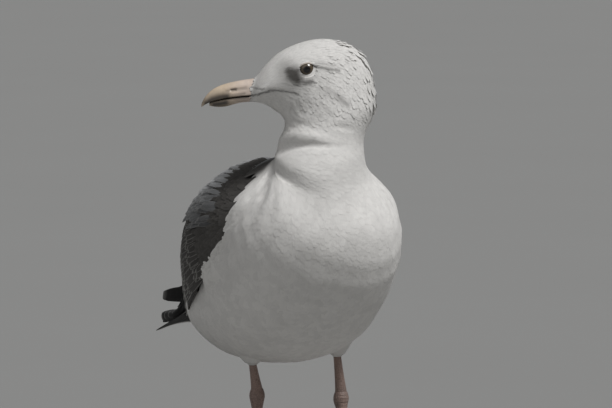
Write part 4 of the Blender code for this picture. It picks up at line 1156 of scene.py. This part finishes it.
BALL_RINGS, BALL_AROUND = 40, 48
LID_RINGS, LID_AROUND = 14, 72
for name, sign in (("eye_left", 1), ("eye_right", -1)):
    polar, turn = grid(np.linspace(0.02, np.pi - 0.02, BALL_RINGS), circle(BALL_AROUND))
    out = EYE_RADIUS * np.sin(polar)
    radius = EYE_RADIUS + 0.35 * np.exp(-(out / 4.4) ** 4) * (polar < 1.5) - 0.1
    ahead = EYE_AHEAD + radius * np.sin(polar) * np.cos(turn)
    height = EYE_HEIGHT + radius * np.sin(polar) * np.sin(turn)
    aside = sign * (EYE_ASIDE + radius * np.cos(polar))
    reach = np.where(polar < np.pi / 2, out, np.inf)
    rays = 0.7 + 0.5 * (reach / IRIS_RADIUS) * (1 + 0.25 * np.sin(turn * 37))
    iris = IRIS_BROWN * rays[..., None].clip(0, 1.4)
    dark = np.clip(np.maximum((PUPIL_RADIUS + 0.2 - reach) * 3, (reach - IRIS_RADIUS) * 2), 0, 1)
    ball = make_piece(name + "_ball", head_point(ahead, aside, height),
                      *tube_faces(BALL_RINGS, BALL_AROUND, sign > 0), eye_finish, None,
                      {"dye": opaque(mixed(iris, PUPIL_BLACK, dark))})
    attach(ball, "root")
    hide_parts(name)

    step, turn = grid(np.linspace(0, 1, LID_RINGS), circle(LID_AROUND))
    grow = 1 + 0.62 * step
    ahead = EYE_AHEAD + OPENING[0] * grow * np.cos(turn) * (1 + 0.05 * np.cos(turn)) - 0.2
    height = EYE_HEIGHT + OPENING[1] * grow * np.sin(turn) - 0.10 * (ahead - EYE_AHEAD)
    out = np.hypot(ahead - EYE_AHEAD, height - EYE_HEIGHT)
    on_ball = EYE_ASIDE + np.sqrt(np.clip((EYE_RADIUS + 0.25) ** 2 - out ** 2, 0, None))
    on_head = np.abs(head_side(ahead, height, sign)) + 0.7 - 1.6 * step ** 2
    blend = np.clip(step * 1.7 - 0.25, 0, 1)
    lip = 0.35 * bump(step, 0.14, 0.13) - 0.5 * bump(step, 0.0, 0.05)
    crease = 0.22 * np.sin(step * 25.0) * np.clip(step * 2, 0, 1) * np.clip(0.5 - 0.8 * np.sin(turn), 0, 1)
    points = head_point(ahead, sign * (on_ball * (1 - blend) + on_head * blend + lip + crease), height)
    colour = LID_SKIN * (1 - 0.30 * bump(step, 0.33, 0.08) - 0.45 * bump(step, 0.0, 0.06))[..., None]
    around = coat_colour(points, FACE + 0 * ahead, 0 * ahead + np.pi / 2)
    quads = grid_faces(LID_RINGS, LID_AROUND, True)
    lids = make_piece(name + "_lids", points, quads[:, ::-1] if sign > 0 else quads, [], lid_finish, None,
                      {"dye": opaque(mixed(colour, around, ramp(step, 0.30, 0.25)))})
    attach(lids, "root")


# Legs. Bare scaly skin: a thin shank out of the feathers, a knobbed ankle, a flat-sided tarsus with
# plates down its front, webbed toes with plates along their tops, and a small raised hind toe.
GAP = 0.3
# Each foot's X and Y under the tarsus, and its turn in degrees.
FEET = {"right": (-22.5, 25.5, -12.0), "left": (48.5, 20.5, 10.0)}
# Half widths and half depths: down the shank, by height over the ankle, by share from it to the sole.
SHANK_RADII = [(2.9, 3.2), (3.5, 3.8), (4.6, 4.8)]
ANKLE_TOP, SHANK_OVERLAP = 6.5, 1.2
ANKLE_ROWS = [(ANKLE_TOP - GAP, 4.65, 4.85), (3.0, 5.7, 6.0), (0.0, 6.0, 6.2), (-4.0, 5.2, 5.6)]
TARSUS_ROWS = [(0.25, 3.6, 4.4), (0.5, 2.9, 3.9), (0.75, 3.0, 3.8), (0.9, 3.7, 4.2), (1.0, 4.0, 4.0)]
SOLE_TOP = 6.0
TOES = [(-27.0, 43.0), (0.0, 51.0), (26.0, 47.0)]   # bearing in degrees and length, inner toe first
TOE_HALF_WIDTH, TOE_NARROWING = 3.3, 0.3
TOE_THICKNESSES = (4.6, 3.2)
TOE_END_SLOPE = 3.0
WEB_THICKNESS, WEB_SCALLOP = 1.2, 0.12
HEEL_RADIUS, KNOB_RADIUS = 4.6, 6.1
CLAW_LENGTH, CLAW_RADIUS, CLAW_HEIGHT, CLAW_DIP = 7.5, 1.5, 1.9, 0.5
HIND_TOE_START = (6.5, 11.5)
HIND_TOE_REACH, HIND_TOE_DROP = 7.5, 3.5
HIND_TOE_RADII = np.array([[2.2], [2.3], [2.0], [1.5]])
HIND_CLAW_LENGTH, HIND_CLAW_RADIUS, HIND_CLAW_DIP = 4.0, 1.1, 5.0
LEG_FLESH, LEG_WASH = (0.36, 0.25, 0.21, 1.0), (0.22, 0.17, 0.15, 1.0)
LEG_SEAM, CLAW_HORN = (0.10, 0.075, 0.065, 1.0), (0.045, 0.038, 0.033, 1.0)

leg_finish, start = new_finish("scaly_legs", Roughness=0.5, Coat_Weight=0.1, Coat_Roughness=0.4)
spot = start.spot()
cells = start.make("TexVoronoi", {"feature": "DISTANCE_TO_EDGE"}, {"Vector": spot, "Scale": 620.0})
seam = 1.0 - cells.step(0.0, 0.12)
flesh = tint(start.make("RGB"), LEG_FLESH, 1.0)
flesh = tint(flesh, LEG_WASH, spot.noise(60.0).step(0.35, 0.75) * 0.6)
feed(start, Base_Color=tint(flesh, LEG_SEAM, seam * 0.55), Roughness=0.42 + 0.3 * seam,
     Normal=cells.step(0.0, 0.25).bumped(0.6, 0.0003))
claw_finish, start = new_finish("horn_claws", Roughness=0.3)
feed(start, Base_Color=tint(start.make("RGB"), CLAW_HORN, 1.0 - 0.2 * start.spot().noise(500.0)))


def pipe(stations, steps, around, plates):
    """Level ovals along a spline through stations of centre, half width and half depth. Plates of
    the height given step out a little at their lower edges over the front third."""
    row = spline(np.arange(len(stations)), np.array(stations), np.linspace(0, len(stations) - 1, steps))
    angle = circle(around)[None]
    tile = 1 - (row[:, 2:3] / plates) % 1
    swell = 1 + 0.05 * tile * np.clip(-np.sin(angle) * 1.6 - 0.3, 0, 1)
    x = row[:, 0:1] + row[:, 3:4] * np.cos(angle) * swell
    y = row[:, 1:2] + row[:, 4:5] * np.sin(angle) * swell
    return np.stack([x, y, row[:, 2:3] + 0 * x], -1)


def leg_piece(name, rings, node, finish=leg_finish, inward=False):
    """A closed tube of rings that takes the place of a node of the leg."""
    item = make_piece(name, rings, *tube_faces(*rings.shape[:2], inward), finish)
    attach(item, "root")
    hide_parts(node)


def foot_outline(angle):
    """Reach of the foot at each bearing: toe to toe with a scallop in each web, straight sides along
    the outer toes and a small round heel."""
    reach = np.full_like(angle, HEEL_RADIUS)
    for (low, low_length), (high, high_length) in zip(TOES, TOES[1:]):
        share = (np.degrees(angle) - low) / (high - low)
        hollow = 1 - WEB_SCALLOP * np.sin(np.pi * np.clip(share, 0, 1)) ** 0.8
        length = low_length + (high_length - low_length) * share
        reach = np.where((share >= 0) & (share <= 1), length * hollow, reach)
    for side, (toe, length) in ((-1, TOES[0]), (1, TOES[-1])):
        off = side * (angle - np.radians(toe))
        straight = TOE_HALF_WIDTH / np.maximum(np.sin(np.clip(off, 0.01, np.pi / 2)), 0.01)
        reach = np.where((off > 0) & (off < np.pi / 2), np.clip(straight, HEEL_RADIUS, length), reach)
    return reach


def foot_height(x, y):
    """Height of the foot's top: toes with swollen joints and stepped plates, a thin web with radial
    folds between them, and the knob under the tarsus."""
    height = WEB_THICKNESS + 0.12 * np.sin(np.arctan2(x, y) * 60) * np.clip(np.hypot(x, y) / 30, 0, 1)
    for toe, length in TOES:
        direction = np.radians(toe)
        along = x * np.sin(direction) + y * np.cos(direction)
        off = x * np.cos(direction) - y * np.sin(direction)
        share = np.clip(along / length, 0, 1)
        radius = TOE_HALF_WIDTH * (1 - TOE_NARROWING * share)
        thick = TOE_THICKNESSES[0] + (TOE_THICKNESSES[1] - TOE_THICKNESSES[0]) * share
        thick = thick * (0.92 + 0.08 * np.cos(share * 6 * np.pi)) + 0.12 * (along / 1.9 % 1)
        ridge = thick * np.sqrt(np.clip(1 - (off / radius) ** 2, 0, 1))
        end = np.clip((length - along) / TOE_END_SLOPE, 0, 1) ** 0.5
        height = np.where(along > -1, np.maximum(height, ridge * end), height)
    knob = (SOLE_TOP - GAP) * np.sqrt(np.clip(1 - (x ** 2 + y ** 2) / KNOB_RADIUS ** 2, 0, 1))
    return np.maximum(height, knob)


def claw_rings(base, direction, length, radius, dip):
    """Tapered rings along a path that bends down to its point."""
    share = np.linspace(0, 1, 16)[:, None, None]
    angle = circle(14)[None, :, None]
    forward = np.array([*direction, 0.0]) / np.hypot(*direction)
    aside = np.array([-forward[1], forward[0], 0.0])
    ring = radius * (1 - 0.85 * share ** 1.3) * (np.cos(angle) * aside + np.sin(angle) * up)
    return np.array(base) + forward * length * share - up * (base[2] - radius * 0.2 - dip) * share ** 2 + ring


FOOT_AROUND, FOOT_RINGS = 150, 34
TOE_FAN = 0.6                           # bearing in radians that the toes and webs lie within
for side, outward in SIDES.items():
    ankle = np.array(ANKLES[side])
    foot_x, foot_y, heading = FEET[side]
    turn = np.radians(heading)
    high = on_leg(side, THIGH_LOW[side] - CUFF_DEPTH) - GAP * up
    low = ankle + (ANKLE_TOP - SHANK_OVERLAP) * up
    stations = [(*place, *radii) for place, radii in zip((high, (high + low) / 2, low), SHANK_RADII)]
    rings = pipe(stations, steps=24, around=28, plates=2.6)
    leg_piece("shank_skin_" + side, rings, "shank_" + side, inward=True)
    stations = [(*(ankle + above * up), *radii) for above, *radii in ANKLE_ROWS]
    sole = np.array([foot_x, foot_y, SOLE_TOP])
    stations += [(*(ankle + (sole - ankle) * share), *radii) for share, *radii in TARSUS_ROWS]
    rings = pipe(stations, steps=110, around=36, plates=2.8)
    leg_piece("tarsus_skin_" + side, rings, "tarsus_" + side, inward=True)

    bearing = circle(FOOT_AROUND) - np.pi
    bearing = bearing[np.abs(bearing) > TOE_FAN]
    bearing = np.sort(np.concatenate([bearing, np.linspace(-TOE_FAN, TOE_FAN, FOOT_AROUND)]))
    radius = np.linspace(0.04, 1, FOOT_RINGS)[:, None] ** 0.9 * foot_outline(bearing)
    x, y = radius * np.sin(bearing), radius * np.cos(bearing)
    z = foot_height(x, y)
    x, y, z = (np.concatenate([w, w[-1:]]) for w in (x, y, z))
    z[-1] = 0.0
    rings = np.stack([foot_x + outward * x * np.cos(turn) + y * np.sin(turn),
                      foot_y - (y * np.cos(turn) - outward * x * np.sin(turn)), z], -1)
    leg_piece("foot_skin_" + side, rings, "foot_" + side, inward=side == "left")

    for place, (toe, length) in zip(("inner", "middle", "outer"), TOES):
        along = outward * np.radians(toe) + turn
        direction = np.array([np.sin(along), -np.cos(along)])
        base = (*(np.array([foot_x, foot_y]) + direction * (length + GAP)), CLAW_HEIGHT)
        claw = claw_rings(base, direction, CLAW_LENGTH, CLAW_RADIUS, CLAW_DIP)
        name = place + "_" + side
        leg_piece("horn_" + name, claw, "claw_" + name, claw_finish)

    behind = np.array([-np.sin(turn), np.cos(turn), 0.0])
    aside = np.array([-behind[1], behind[0], 0.0])
    first = np.array([foot_x, foot_y, HIND_TOE_START[1]]) + behind * HIND_TOE_START[0]
    share = np.linspace(0, 1, 20)
    radius = spline(np.array([0, 0.4, 0.8, 1.0]), HIND_TOE_RADII, share)[:, 0] * (1 + 0.04 * (share * 5 % 1))
    ring = np.outer(np.cos(circle(20)), aside) + np.outer(np.sin(circle(20)), up)
    centre = first + (behind * HIND_TOE_REACH - up * HIND_TOE_DROP) * share[:, None]
    leg_piece("hind_toe_skin_" + side, centre[:, None] + radius[:, None, None] * ring, "hind_toe_" + side)
    base = first + behind * (HIND_TOE_REACH + GAP) - up * HIND_TOE_DROP
    claw = claw_rings(base, behind[:2], HIND_CLAW_LENGTH, HIND_CLAW_RADIUS, HIND_CLAW_DIP)
    leg_piece("hind_horn_" + side, claw, "hind_claw_" + side, claw_finish)
